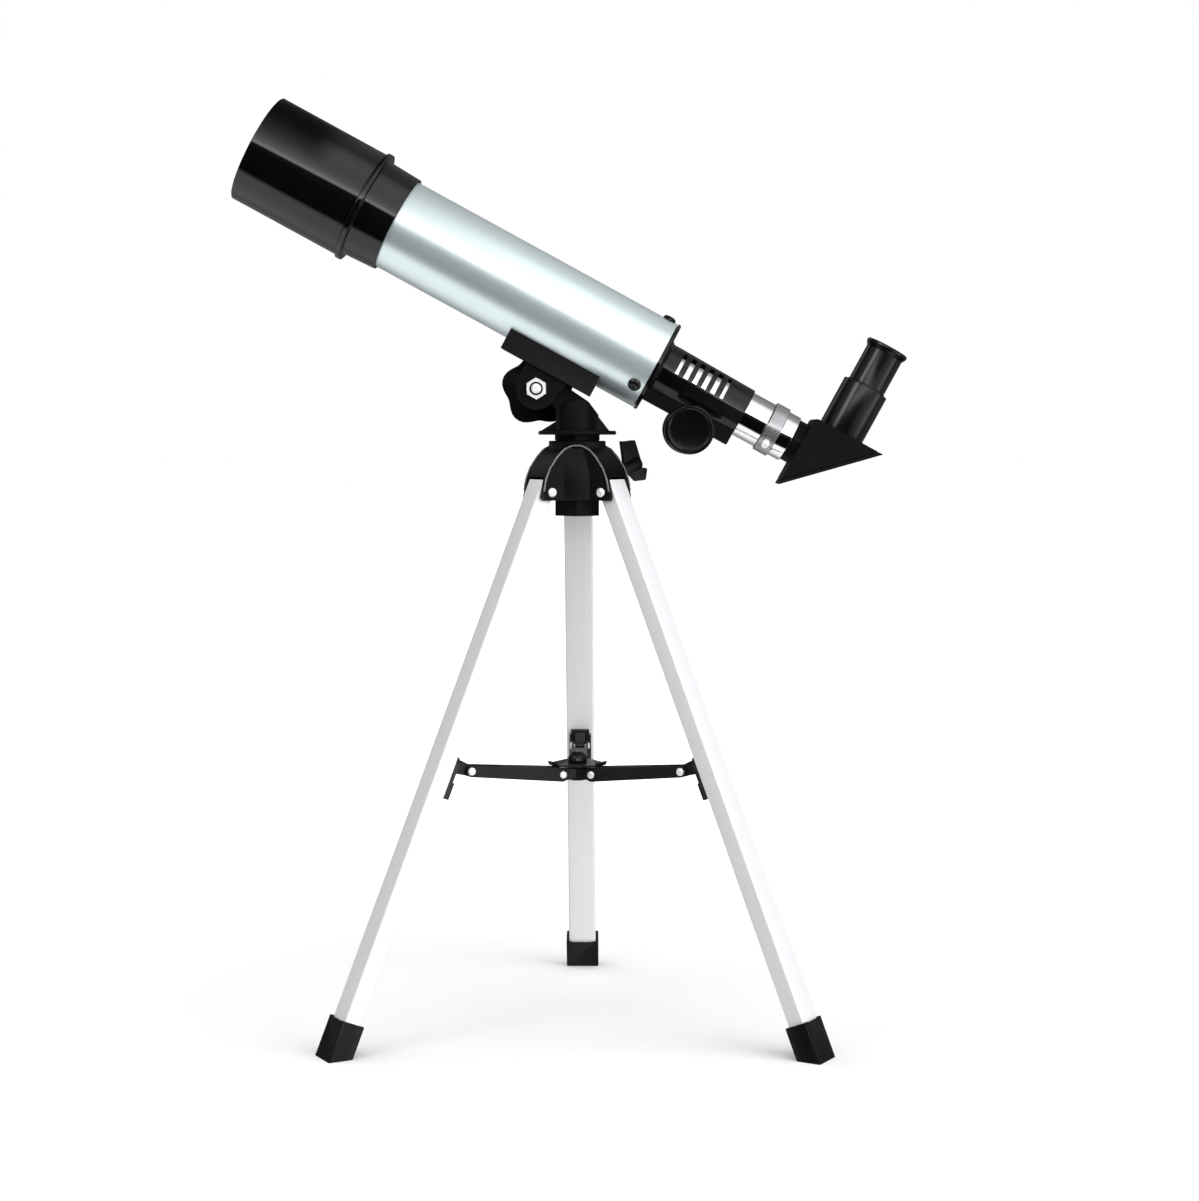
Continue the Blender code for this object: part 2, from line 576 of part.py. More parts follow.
def eyepiece_socket():
    foot = DIAGONAL_TOP + GAP
    outline = [(ACCESSORY_BORE, SOCKET_TOP), (SOCKET_RADIUS - 0.0006, SOCKET_TOP)]
    outline += [(SOCKET_RADIUS, SOCKET_TOP - 0.0006), (SOCKET_RADIUS, foot), (0.0132, foot), (0.0132, 0.0154)]
    outline += [(ACCESSORY_BORE, 0.0154)]
    turned("eyepiece_socket", GLOSS, EYEPIECE, outline, steps=28)


def eyepiece():
    top = EYEPIECE_TOP
    outline = [(0.0062, top - 0.0030), (0.0100, top - 0.0004), (0.0126, top), (0.0131, top - 0.0006)]
    outline += [(0.0131, top - 0.0018), (0.0129, top - 0.0024), (0.0116, 0.0496), (0.0122, 0.0492)]
    outline += [(0.0122, 0.0220), (0.0110, 0.0220), (0.0110, 0.0640), (0.0079, 0.0640), (0.0079, 0.0698)]
    outline += [(0.0062, 0.0698)]
    turned("eyepiece_body", GLOSS, EYEPIECE, outline, steps=24)
    lens("eyepiece_field_lens", EYEPIECE, 0.0107, 0.0290, 0.0308, 0.0, 0.0022, (0, 0, 0))
    lens("eyepiece_eye_lens", EYEPIECE, 0.0076, 0.0655, 0.0670, 0.0010, 0.0016, (0, 0, 0))


# ---------------------------------------------------------------- altitude joint


def saddle_cheek_outline():
    """The lug's side view: from the saddle's underside down round the pivot."""
    x, y = PIVOT_TUBE_X, PIVOT_TUBE_Y
    return [(-0.0393, -0.0330)] + [(-0.0687, -0.0330)] + arc(x, y, BOSS_RADIUS, 178, 372, 19)


def tube_saddle():
    low = (SADDLE_FRONT, SADDLE_BOTTOM, -SADDLE_HALF_WIDTH)
    saddle = box("tube_saddle", SATIN, TUBE, low, (SADDLE_REAR, -0.0190, SADDLE_HALF_WIDTH))
    for name, side in (("near", 1), ("far", -1)):
        start, end = sorted((side * CHEEK_INNER, side * CHEEK_OUTER))
        join(saddle, plate(f"saddle_cheek_{name}", None, TUBE, saddle_cheek_outline(), start, end))
    seat = cylinder("saddle_seat", None, TUBE, TUBE_RADIUS + GAP, -0.090, -0.020, (0, 0, 0), ALONG_TUBE, 48)
    bolt = cylinder("saddle_bolt_hole", None, ALTITUDE, BOLT_RADIUS + 0.0004, -0.020, 0.020, sides=20)
    cut(saddle, seat, bolt)
    for end, x in (("front", -0.078), ("rear", -0.034)):
        cut(saddle, cylinder(f"pilot_{end}", None, TUBE, 0.0018, -0.0337, -0.0200, (x, 0, 0), UP_FROM_TUBE, 12))
        screw(
            f"saddle_screw_{end}", STEEL, TUBE, 0.0028, 0.0015, 0.0014, 0.0068, (x, -0.0259, 0), UP_FROM_TUBE, 12
        )


def altitude_clamp():
    """The bolt through the saddle's cheeks and the arm, its nut on the near side and the lobed knob on the far side."""
    near_end, far_end = CHEEK_OUTER + 0.0066, -0.0240
    cylinder("altitude_bolt", STEEL, ALTITUDE, BOLT_RADIUS, far_end, near_end, sides=20)
    nut = cylinder("altitude_nut", STEEL, ALTITUDE, 0.0065, CHEEK_OUTER + GAP, CHEEK_OUTER + 0.0046, sides=6)
    round_edges(nut, 0.0005, 1)
    cut(nut, cylinder("nut_bore", None, ALTITUDE, BOLT_RADIUS + GAP, 0.0, 0.030, sides=20))
    outline = []
    points = 50
    for i in range(points):
        angle = 2 * math.pi * i / points
        wave = 0.5 + 0.5 * math.cos(LOBE_COUNT * (angle - math.radians(192)))
        radius = LOBE_VALLEY + (LOBE_RADIUS - LOBE_VALLEY) * wave**0.8
        outline.append((radius * math.cos(angle), radius * math.sin(angle)))
    knob = plate("altitude_knob", SATIN, ALTITUDE, outline, -ALTITUDE_KNOB_OUTER, -ALTITUDE_KNOB_INNER)
    round_edges(knob, 0.0010, 2, 50)
    join(knob, cylinder("knob_stem", None, ALTITUDE, 0.0090, -0.0200, -CHEEK_OUTER - GAP, sides=24))
    cut(knob, cylinder("knob_bore", None, ALTITUDE, BOLT_RADIUS + GAP, -0.0243, 0.0, sides=20))
    for name, side in (("near", 1), ("far", -1)):
        start, end = sorted((side * (TONGUE_HALF_WIDTH + GAP), side * (CHEEK_INNER - GAP)))
        washer = cylinder(f"friction_washer_{name}", RACK, ALTITUDE, 0.0090, start, end, sides=24)
        cut(washer, cylinder(f"washer_bore_{name}", None, ALTITUDE, BOLT_RADIUS + GAP, -0.02, 0.02, sides=20))


# ---------------------------------------------------------------- head


def head_arm():
    """A round neck on the pan plate that leans into a flat tongue round the altitude bolt."""
    tongue_outline = [(0.0127, 0.3600), (0.0127, 0.3690), (0.0070, 0.3767), (-0.0032, 0.3836)]
    tongue_outline += arc(PIVOT_X, PIVOT_Z, TONGUE_RADIUS, 30, 235, 15)
    tongue_outline += [(-0.0147, 0.3752), (-0.0126, 0.3715), (-0.0127, 0.3600)]
    half = TONGUE_HALF_WIDTH
    arm = plate("head_arm", SATIN, HEAD, tongue_outline, -half, half)
    neck_outline = [(0.0140, 0.3560), (0.0140, 0.3662), (0.0068, 0.3763), (0.0020, 0.3782), (-0.0080, 0.3752)]
    neck_outline += [(-0.0140, 0.3710), (-0.0140, 0.3560)]
    neck = cylinder("head_neck", None, TRIPOD, NECK_RADIUS, PAN_BOTTOM + 0.001, 0.3840, sides=36)
    boolean(neck, [plate("neck_outline", None, HEAD, neck_outline, -0.020, 0.020)], "INTERSECT")
    pan = turned(
        "pan_plate", None, TRIPOD,
        [(0, PAN_BOTTOM + PAN_THICK), (PAN_RADIUS - 0.0006, PAN_BOTTOM + PAN_THICK),
         (PAN_RADIUS, PAN_BOTTOM + PAN_THICK - 0.0008), (PAN_RADIUS, PAN_BOTTOM + 0.0006),
         (PAN_RADIUS - 0.0006, PAN_BOTTOM), (0.0134, PAN_BOTTOM), (0.0134, HUB_TOP + GAP), (0, HUB_TOP + GAP)],
        steps=40,
    )
    left_fin = plate(
        "left_fin", None, HEAD, [(-0.0225, 0.3590), (-0.0110, 0.3590), (-0.0110, 0.3662)], -0.0050, 0.0050
    )
    right_fin = plate(
        "right_fin", None, HEAD, [(0.0110, 0.3590), (0.0196, 0.3590), (0.0110, 0.3701)], -0.0050, 0.0050
    )
    join(arm, neck, pan, left_fin, right_fin)
    bolt_hole = cylinder("arm_bolt_hole", None, ALTITUDE, BOLT_RADIUS + 0.0004, -0.010, 0.010, sides=20)
    stud_hole = cylinder("arm_stud_hole", None, TRIPOD, 0.0033, 0.3500, 0.3665, sides=20)
    cut(arm, bolt_hole, stud_hole)


def azimuth_pivot():
    cylinder("azimuth_bolt", STEEL, TRIPOD, 0.0030, 0.3130, 0.3660, sides=20)
    nut = cylinder("azimuth_nut", STEEL, TRIPOD, 0.0055, 0.3145, 0.3193, sides=6)
    cut(nut, cylinder("azimuth_nut_bore", None, TRIPOD, 0.0030 + GAP, 0.300, 0.330, sides=20))


# ---------------------------------------------------------------- tripod hub


def ridge_outline():
    """Side view of the housing over one leg: distance from the axis and height."""
    outline = [(0.0050, EAR_BOTTOM), (0.0290, EAR_BOTTOM), (0.0302, EAR_BOTTOM + 0.0018)]
    outline += [(0.0293, 0.3240), (0.0279, 0.3310), (0.0252, 0.3375), (0.0203, 0.3442), (0.0160, 0.3484)]
    return outline + [(0.0127, 0.3504), (0.0050, 0.3504)]


def hub_at(angle):
    """Draws outlines of (distance, height) upright, pointing away from the axis at an angle."""
    return frame("ridge_frame", YAWED, rotation=(math.radians(90), 0, angle))


def tripod_hub():
    post = 2 * POST_HALF_WIDTH / math.sqrt(3)
    hub = cylinder("tripod_hub", SATIN, YAWED, post, POST_BOTTOM, 0.3495, sides=6)
    flange = turned(
        "hub_flange", None, YAWED,
        [(0, HUB_TOP), (HUB_FLANGE_RADIUS - 0.0005, HUB_TOP), (HUB_FLANGE_RADIUS, HUB_TOP - 0.0005),
         (HUB_FLANGE_RADIUS, HUB_TOP - 0.0030), (0.0153, 0.3470), (0, 0.3470)], steps=28,
    )
    join(hub, flange)
    for angle in LEG_ANGLES.values():
        half = POST_HALF_WIDTH - 0.0003
        join(hub, plate("ridge", None, hub_at(angle), ridge_outline(), -half, half))
    for angle in LEG_ANGLES.values():
        upright = hub_at(angle)
        half = LEG_SLOT_HALF_WIDTH
        slot = box("leg_slot", None, upright, (LEG_SLOT_INNER, 0.290, -half), (0.045, LEG_SLOT_TOP, half))
        hole = cylinder(
            "hinge_hole", None, upright, 0.0019, -0.020, 0.020, (LEG_HINGE_R, LEG_HINGE_Z, 0), sides=12
        )
        cut(hub, slot, hole)
    stud_hole = cylinder("hub_stud_hole", None, TRIPOD, 0.0033, 0.300, 0.360, sides=20)
    nut_recess = cylinder("hub_nut_recess", None, TRIPOD, 0.0080, 0.300, 0.3200, sides=24)
    lock_hole = cylinder("lock_hole", None, lock_frame(), 0.0022, 0.002, 0.040, sides=12)
    cut(hub, stud_hole, nut_recess, lock_hole)


def lock_frame():
    """An axis that rises outwards through the hub's far right side to the tripod's axis."""
    return frame("lock_axis", YAWED, (0, 0, LOCK_Z), (0, math.radians(90) - LOCK_RISE, LOCK_ANGLE))


def azimuth_lock_screw():
    axis = lock_frame()
    profile = [(0, 0.0470), (0.0036, 0.0470), (0.0043, 0.0460), (0.0043, 0.0340), (0.0019, 0.0340)]
    profile += [(0.0019, 0.0047), (0, 0.0047)]
    lock = turned("azimuth_lock_screw", SATIN, axis, profile, steps=20)
    wing = [(-0.0168, 0.0402), (-0.0160, 0.0412), (-0.0135, 0.0488), (-0.0125, 0.0490), (0.0008, 0.0478)]
    wing += [(0.0030, 0.0458), (0.0056, 0.0496), (0.0066, 0.0494), (0.0115, 0.0462), (0.0115, 0.0452)]
    wing += [(0.0095, 0.0394), (0.0020, 0.0362), (-0.0030, 0.0362)]
    blade = plate("wing", None, axis, wing, -0.0017, 0.0017, rotation=TO_VIEWER)
    round_edges(blade, 0.0008, 1)
    join(lock, blade)


# ---------------------------------------------------------------- legs


def leg_frame(side):
    angle = LEG_ANGLES[side]
    place_of = (LEG_HINGE_R * math.cos(angle), LEG_HINGE_R * math.sin(angle), LEG_HINGE_Z)
    return frame(f"{side}_leg_hinge", YAWED, place_of, (0, -LEG_TILT, angle))


def leg(side, axis):
    name = f"{side}_leg"
    low = (LEG_IN, -LEG_HALF_WIDTH, LEG_BOTTOM)
    tube = box(name, ALUMINIUM, axis, low, (LEG_OUT, LEG_HALF_WIDTH, LEG_TOP))
    round_edges(tube, 0.0009, 2)
    wall = LEG_WALL
    hollow = box(
        f"{name}_hollow", None, axis, (LEG_IN + wall, wall - LEG_HALF_WIDTH, LEG_BOTTOM - 0.01),
        (LEG_OUT - wall, LEG_HALF_WIDTH - wall, LEG_TOP + 0.01),
    )
    hole = cylinder(f"{name}_hole", None, axis, 0.0019, -0.012, 0.012, rotation=TO_VIEWER, sides=12)
    cut(tube, hollow, hole)


def leg_bolt(side, axis):
    """A long screw across the hub's two cheeks, with a round head on the side that the viewer sees."""
    head, end = POST_HALF_WIDTH + GAP, POST_HALF_WIDTH + 0.0017
    profile = [(0, head + 0.0019), (0.0018, head + 0.0017), (0.0027, head + 0.0009), (0.0027, head)]
    profile += [(0.0015, head), (0.0015, GAP - head), (0.0024, -head), (0.0024, -head - 0.0010)]
    profile += [(0.0012, -end), (0, -end)]
    profile[5] = (0.0015, -head)
    turn = math.radians(90) if side == "right" else math.radians(-90)
    turned(f"{side}_leg_bolt", STEEL, axis, profile, rotation=(turn, 0, 0), steps=16)


def foot_cap(side, axis):
    """A moulded boot with a pocket for the leg, taller at its sides, and cut level with the floor."""
    gap = GAP
    low = (LEG_IN - gap - FOOT_WALL, -LEG_HALF_WIDTH - gap - FOOT_WALL, FOOT_BOTTOM)
    high = (LEG_OUT + gap + FOOT_WALL, LEG_HALF_WIDTH + gap + FOOT_WALL, FOOT_PRONG_TOP)
    boot = box(f"{side}_foot_cap", SATIN, axis, low, high)
    round_edges(boot, 0.0011, 2)
    pocket = box(
        f"{side}_pocket", None, axis, (LEG_IN - gap, -LEG_HALF_WIDTH - gap, LEG_BOTTOM - gap),
        (LEG_OUT + gap, LEG_HALF_WIDTH + gap, -0.300),
    )
    notch = box(f"{side}_notch", None, axis, (-0.020, -0.0070, FOOT_WALL_TOP), (0.020, 0.0070, -0.300))
    floor = box(f"{side}_floor", None, None, (-0.3, -0.3, -0.05), (0.3, 0.3, 0.0))
    cut(boot, pocket, notch, floor)


def ear_pivot():
    """The outer arm pivot in the leg frame."""
    out, down = ARM_OUTER_R - LEG_HINGE_R, ARM_OUTER_Z - LEG_HINGE_Z
    cos, sin = math.cos(LEG_TILT), math.sin(LEG_TILT)
    return out * cos + down * sin, -out * sin + down * cos


def spreader_bracket(side, axis):
    """A plate on the leg's inner face, thicker low down, with an ear that reaches in to the arm's pivot."""
    x, z = ear_pivot()
    face = LEG_IN - GAP
    half = 0.0058
    low = (face - BRACKET_THICK, -half, z - BRACKET_BELOW)
    bracket = box(f"{side}_spreader_bracket", BLACK_STEEL, axis, low, (face, half, z + 0.0050))
    rib_low = (face - BRACKET_RIB, -half, z - BRACKET_BELOW)
    rib = box(f"{side}_rib", None, axis, rib_low, (face - 0.0010, half, z - BRACKET_RIB_TOP))
    join(bracket, rib)
    round_edges(bracket, 0.0004, 1)
    outline = [(face - 0.001, z + 0.0040), (face - 0.0045, z + 0.0040)]
    outline += arc(x, z, TAB_RADIUS, 110, 285, 10) + [(face - 0.001, z - 0.0050)]
    width = TAB_HALF_WIDTH - 0.0006
    join(bracket, plate(f"{side}_ear", None, axis, outline, -width, width, rotation=TO_VIEWER))


def spreader_arm(side, angle):
    """A channel between the hub and the leg: two side walls, joined by a web on top away from its ends."""
    length = math.hypot(ARM_OUTER_R - ARM_INNER_R, ARM_OUTER_Z - ARM_INNER_Z)
    rise = math.atan2(ARM_OUTER_Z - ARM_INNER_Z, ARM_OUTER_R - ARM_INNER_R)
    place_of = (ARM_INNER_R * math.cos(angle), ARM_INNER_R * math.sin(angle), ARM_INNER_Z)
    axis = frame(f"{side}_arm_pivot", YAWED, place_of, (0, -rise, angle))
    half, tall, wall = ARM_HALF_WIDTH, ARM_HALF_HEIGHT, ARM_WALL
    outline = arc(0, 0, tall, 90, 270, 9) + arc(length, 0, TAB_RADIUS, -90, 90, 9)
    arm = plate(f"{side}_spreader_arm", BLACK_STEEL, axis, outline, -half, half, rotation=TO_VIEWER)
    inner = half - wall
    under = box(f"{side}_under", None, axis, (-0.01, -inner, -0.01), (length + 0.01, inner, tall - wall))
    inner_end = box(f"{side}_inner_end", None, axis, (-0.01, -inner, 0.0), (0.0046, inner, 0.01))
    outer_end = box(f"{side}_outer_end", None, axis, (length - 0.021, -inner, 0.0), (length + 0.01, inner, 0.01))
    cut(arm, under, inner_end, outer_end)
    for x in (0, length):
        cut(arm, cylinder(f"{side}_pin_hole", None, axis, 0.0013, -0.01, 0.01, (x, 0, 0), TO_VIEWER, 12))


def spreader_hub():
    """A column with a tab for each arm, under a plate whose corners turn up."""
    plate_z = SPREADER_PLATE_Z
    hub = cylinder("spreader_hub", BLACK_STEEL, YAWED, 0.0048, 0.1495, plate_z + 0.0004, sides=24)
    for angle in LEG_ANGLES.values():
        outline = [(0.0, 0.1565), (0.0, 0.1501)] + arc(ARM_INNER_R, ARM_INNER_Z, TAB_RADIUS, -90, 90, 9)
        half = TAB_HALF_WIDTH
        join(hub, plate("hub_tab", None, hub_at(angle), outline, -half, half))
    radius = SPREADER_PLATE_R
    corner = radius / math.cos(math.radians(22))
    outline = []
    for angle in LEG_ANGLES.values():
        for turn in (-22, 22):
            a = angle + math.radians(turn)
            outline.append((corner * math.cos(a), corner * math.sin(a)))
    plate_top = plate_z + SPREADER_PLATE_THICK
    join(hub, plate("spreader_plate", None, YAWED, outline[2:] + outline[:2], plate_z, plate_top))
    for angle in LEG_ANGLES.values():
        lip = [(radius - 0.0014, plate_z + 0.0005), (radius, plate_z + 0.0005), (radius + 0.0012, plate_z + 0.0022)]
        lip += [(radius + 0.0002, plate_z + 0.0026)]
        join(hub, plate("plate_lip", None, hub_at(angle), lip, -0.0058, 0.0058))
    top = plate_top + GAP
    dome = [(0, top + 0.0066), (0.0030, top + 0.0062), (0.0050, top + 0.0046), (0.0058, top + 0.0020)]
    turned("spreader_knob", SATIN, YAWED, dome + [(0.0058, top), (0, top)], steps=24)


def build():
    optical_tube()
    tube_baffle()
    objective_cell()
    dew_shield()
    objective_lenses()
    focuser_housing()
    pinion_cover()
    focus_drive()
    focus_rack()
    drawtube()
    drawtube_collar()
    diagonal_housing()
    diagonal_cover()
    diagonal_barrel()
    eyepiece_socket()
    eyepiece()
    tube_saddle()
    altitude_clamp()
    head_arm()
    azimuth_pivot()
    tripod_hub()
    azimuth_lock_screw()
    for side, angle in LEG_ANGLES.items():
        axis = leg_frame(side)
        leg(side, axis)
        leg_bolt(side, axis)
        foot_cap(side, axis)
        spreader_bracket(side, axis)
        spreader_arm(side, angle)
    spreader_hub()


build()
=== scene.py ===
"""Looks of the telescope on its tripod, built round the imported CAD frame.

Metres, +Z up, +X to the eyepiece side, +Y away from the viewer. Turned pieces are drawn afresh from their profiles
with rounded corners, and moulded or pressed pieces take their CAD shape with softened edges.
"""

import json
import math

import bmesh
import bpy
from mathutils import Euler, Matrix, Vector

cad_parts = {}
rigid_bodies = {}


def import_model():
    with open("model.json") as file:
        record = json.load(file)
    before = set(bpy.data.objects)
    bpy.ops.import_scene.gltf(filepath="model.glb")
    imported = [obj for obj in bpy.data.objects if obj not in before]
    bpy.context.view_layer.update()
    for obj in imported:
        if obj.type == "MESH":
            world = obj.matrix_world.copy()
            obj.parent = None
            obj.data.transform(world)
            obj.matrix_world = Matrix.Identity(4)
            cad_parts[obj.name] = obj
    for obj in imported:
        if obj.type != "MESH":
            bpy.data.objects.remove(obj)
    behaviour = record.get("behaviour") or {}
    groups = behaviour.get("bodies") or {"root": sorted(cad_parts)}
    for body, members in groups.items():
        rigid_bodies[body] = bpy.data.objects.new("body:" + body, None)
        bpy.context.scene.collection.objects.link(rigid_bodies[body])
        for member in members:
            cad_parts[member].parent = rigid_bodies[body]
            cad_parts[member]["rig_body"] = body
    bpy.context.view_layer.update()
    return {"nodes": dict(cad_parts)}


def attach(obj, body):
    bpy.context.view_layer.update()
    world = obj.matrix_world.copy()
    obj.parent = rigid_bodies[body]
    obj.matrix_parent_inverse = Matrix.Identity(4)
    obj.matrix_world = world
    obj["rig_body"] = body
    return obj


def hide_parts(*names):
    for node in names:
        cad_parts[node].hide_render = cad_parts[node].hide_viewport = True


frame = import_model()

GAP = 0.0003  # between pieces that would otherwise share a surface

# ---------------------------------------------------------------- dimensions, as in the CAD

TRIPOD_X, TRIPOD_Y = 0.0040, -0.0367
TRIPOD_YAW = math.radians(-0.7)
TILT = math.radians(28.55)
TUBE_RADIUS, TUBE_LENGTH, TUBE_WALL = 0.0277, 0.188, 0.001
TUBE_SCREW_X, TUBE_SCREW_ANGLES = -0.006, {"top": 84, "near": -36, "far": 204}
CELL_REAR, CELL_FLANGE = 0.1744, 0.1951
CELL_RADIUS_REAR, CELL_RADIUS_FRONT = 0.0294, 0.0304
FLANGE_RADIUS, FLANGE_THICK = 0.0345, 0.0033
SPIGOT_RADIUS, LENS_SEAT, CELL_SHOULDER = 0.0296, 0.1925, 0.1883
SHIELD_RADIUS, SHIELD_FRONT = 0.0331, 0.2682
LENS_RADIUS, LENS_SAG = 0.0259, 0.0022
DRAWTUBE_RADIUS, DRAWTUBE_WALL = 0.0140, 0.0011
DRAWTUBE_IN, DRAWTUBE_OUT = -0.014, 0.0741
PINION_X, PINION_Y = 0.0350, -0.0240
KNOB_RADIUS, KNOB_INNER, KNOB_OUTER = 0.0148, 0.016, 0.027
COLLAR_START, COLLAR_STEP, COLLAR_END = 0.0744, 0.0833, 0.0910
COLLAR_RADIUS, COLLAR_NECK_RADIUS = 0.0156, 0.0141
COLLAR_SCREW_X, COLLAR_SCREW_ANGLE = 0.0788, -33
ACCESSORY_RADIUS, ACCESSORY_BORE = 0.01225, 0.01255
DIAGONAL_FRONT, DIAGONAL_TOP = 0.0972, 0.0180
EYEPIECE_X, EYEPIECE_TOP = 0.1162, 0.0758
SOCKET_RADIUS, SOCKET_TOP = 0.0141, 0.0486
PIVOT_X, PIVOT_Z = -0.0240, 0.3844
PIVOT_TUBE_X, PIVOT_TUBE_Y = -0.0557, -0.0459
CHEEK_OUTER, BOLT_RADIUS = 0.0135, 0.0029
BOLT_END, BOLT_TAIL, THREAD_PITCH = CHEEK_OUTER + 0.0066, -0.0240, 0.0006
NUT_CORNER, NUT_HEIGHT, NUT_BORE, NUT_RECESS = 0.0065, 0.0046, 0.0033, 0.0040
POST_HALF_WIDTH = 0.0130
HUB_TOP, EAR_BOTTOM = 0.3536, 0.3184
PAN_WASHER_BORE, PAN_WASHER_RADIUS = 0.0040, 0.0131
LEG_HINGE_R, LEG_HINGE_Z = 0.0242, 0.3233
LEG_ANGLES = {"rear": math.radians(90), "left": math.radians(-150), "right": math.radians(-30)}
LEG_TILT = math.radians(22.6)
LEG_IN, LEG_OUT, LEG_HALF_WIDTH, LEG_WALL = -0.00415, 0.00635, 0.0088, 0.0010
LEG_TOP, LEG_BOTTOM, LEG_STEPS = 0.0055, -0.3420, 24
FOOT_RIM, RIM_SQUEEZE = -0.3290, 0.1  # what stands above the rim keeps this share of its height
ARM_OUTER_R, ARM_OUTER_Z = 0.0734, 0.1602
ARM_INNER_R, ARM_INNER_Z = 0.0125, 0.1539
ARM_HALF_WIDTH = 0.0050
PLATE_TOP = 0.1589 + 0.0012
STRAP_TOP, STRAP_BOTTOM = 0.0015, -0.0205  # along the leg, from the arm's pivot
RIVET_DROP, RIVET_SPREAD, RIVET_DEPTH = 0.0155, 0.0030, 0.00455

# the bars of each bracket's strap, on the leg's inner face: low and high corners, (outwards, across the leg)
STRAP_BARS = (
    ((-0.0028, -0.0068), (0, -0.0057)),
    ((-0.0028, 0.0057), (0, 0.0068)),
    ((-0.0010, -0.0060), (0, 0.0060)),
)

# the hub's rounded panel in the valley between two leg housings: (height, radius)
PANEL_LEVELS = (
    (EAR_BOTTOM, 0.0198), (EAR_BOTTOM + 0.0008, 0.0205), (0.3260, 0.0206), (0.3330, 0.0203), (0.3390, 0.0196),
    (0.3430, 0.0188), (0.3465, 0.0179), (0.3490, 0.0171),
)
PANEL_INNER, PANEL_HALF_ANGLE, PANEL_STEPS = 0.0120, 21.5, 12
# half of the rim round that panel, from its foot up: (distance out along the housing, height), then its top
RIM_PATH = (
    (0.0293, 0.3240), (0.0279, 0.3310), (0.0252, 0.3375), (0.0203, 0.3442), (0.0160, 0.3484), (0.0127, 0.3500),
)
RIM_APEX = [(-0.0022, -0.0176, 0.3508), (0.0022, -0.0176, 0.3508)]
RIM_RADIUS, RIM_SIDES = 0.00055, 10


def matrix(location=(0, 0, 0), rotation=(0, 0, 0)):
    """Turns, then moves."""
    return Matrix.Translation(location) @ Euler(rotation, "XYZ").to_matrix().to_4x4()


QUARTER = math.radians(90)
TRIPOD = matrix((TRIPOD_X, TRIPOD_Y, 0))
YAWED = TRIPOD @ matrix(rotation=(0, 0, TRIPOD_YAW))
ALTITUDE = TRIPOD @ matrix((PIVOT_X, 0, PIVOT_Z), (QUARTER, TILT, 0))
TUBE = ALTITUDE @ matrix((-PIVOT_TUBE_X, -PIVOT_TUBE_Y, 0))
ALONG = TUBE @ matrix(rotation=(0, QUARTER, 0))  # its z runs rearwards along the tube
FOCUS = TUBE @ matrix((PINION_X, PINION_Y, 0))
EYEPIECE = TUBE @ matrix((EYEPIECE_X, 0, 0), (-QUARTER, 0, 0))


def leg_place(side):
    """A leg's own frame: origin on its hinge, z up along it, x outwards."""
    angle = LEG_ANGLES[side]
    foot = (LEG_HINGE_R * math.cos(angle), LEG_HINGE_R * math.sin(angle), LEG_HINGE_Z)
    return YAWED @ matrix(foot, (0, -LEG_TILT, angle))


ARM_LENGTH = math.hypot(ARM_OUTER_R - ARM_INNER_R, ARM_OUTER_Z - ARM_INNER_Z)


def arm_place(side):
    """A spreader arm's own frame: origin on its inner pivot, x along it."""
    angle = LEG_ANGLES[side]
    rise = math.atan2(ARM_OUTER_Z - ARM_INNER_Z, ARM_OUTER_R - ARM_INNER_R)
    foot = (ARM_INNER_R * math.cos(angle), ARM_INNER_R * math.sin(angle), ARM_INNER_Z)
    return YAWED @ matrix(foot, (0, -rise, angle))


# ---------------------------------------------------------------- materials


EDGE_POINTINESS, EDGE_LIFT = (0.53, 0.62), 0.035


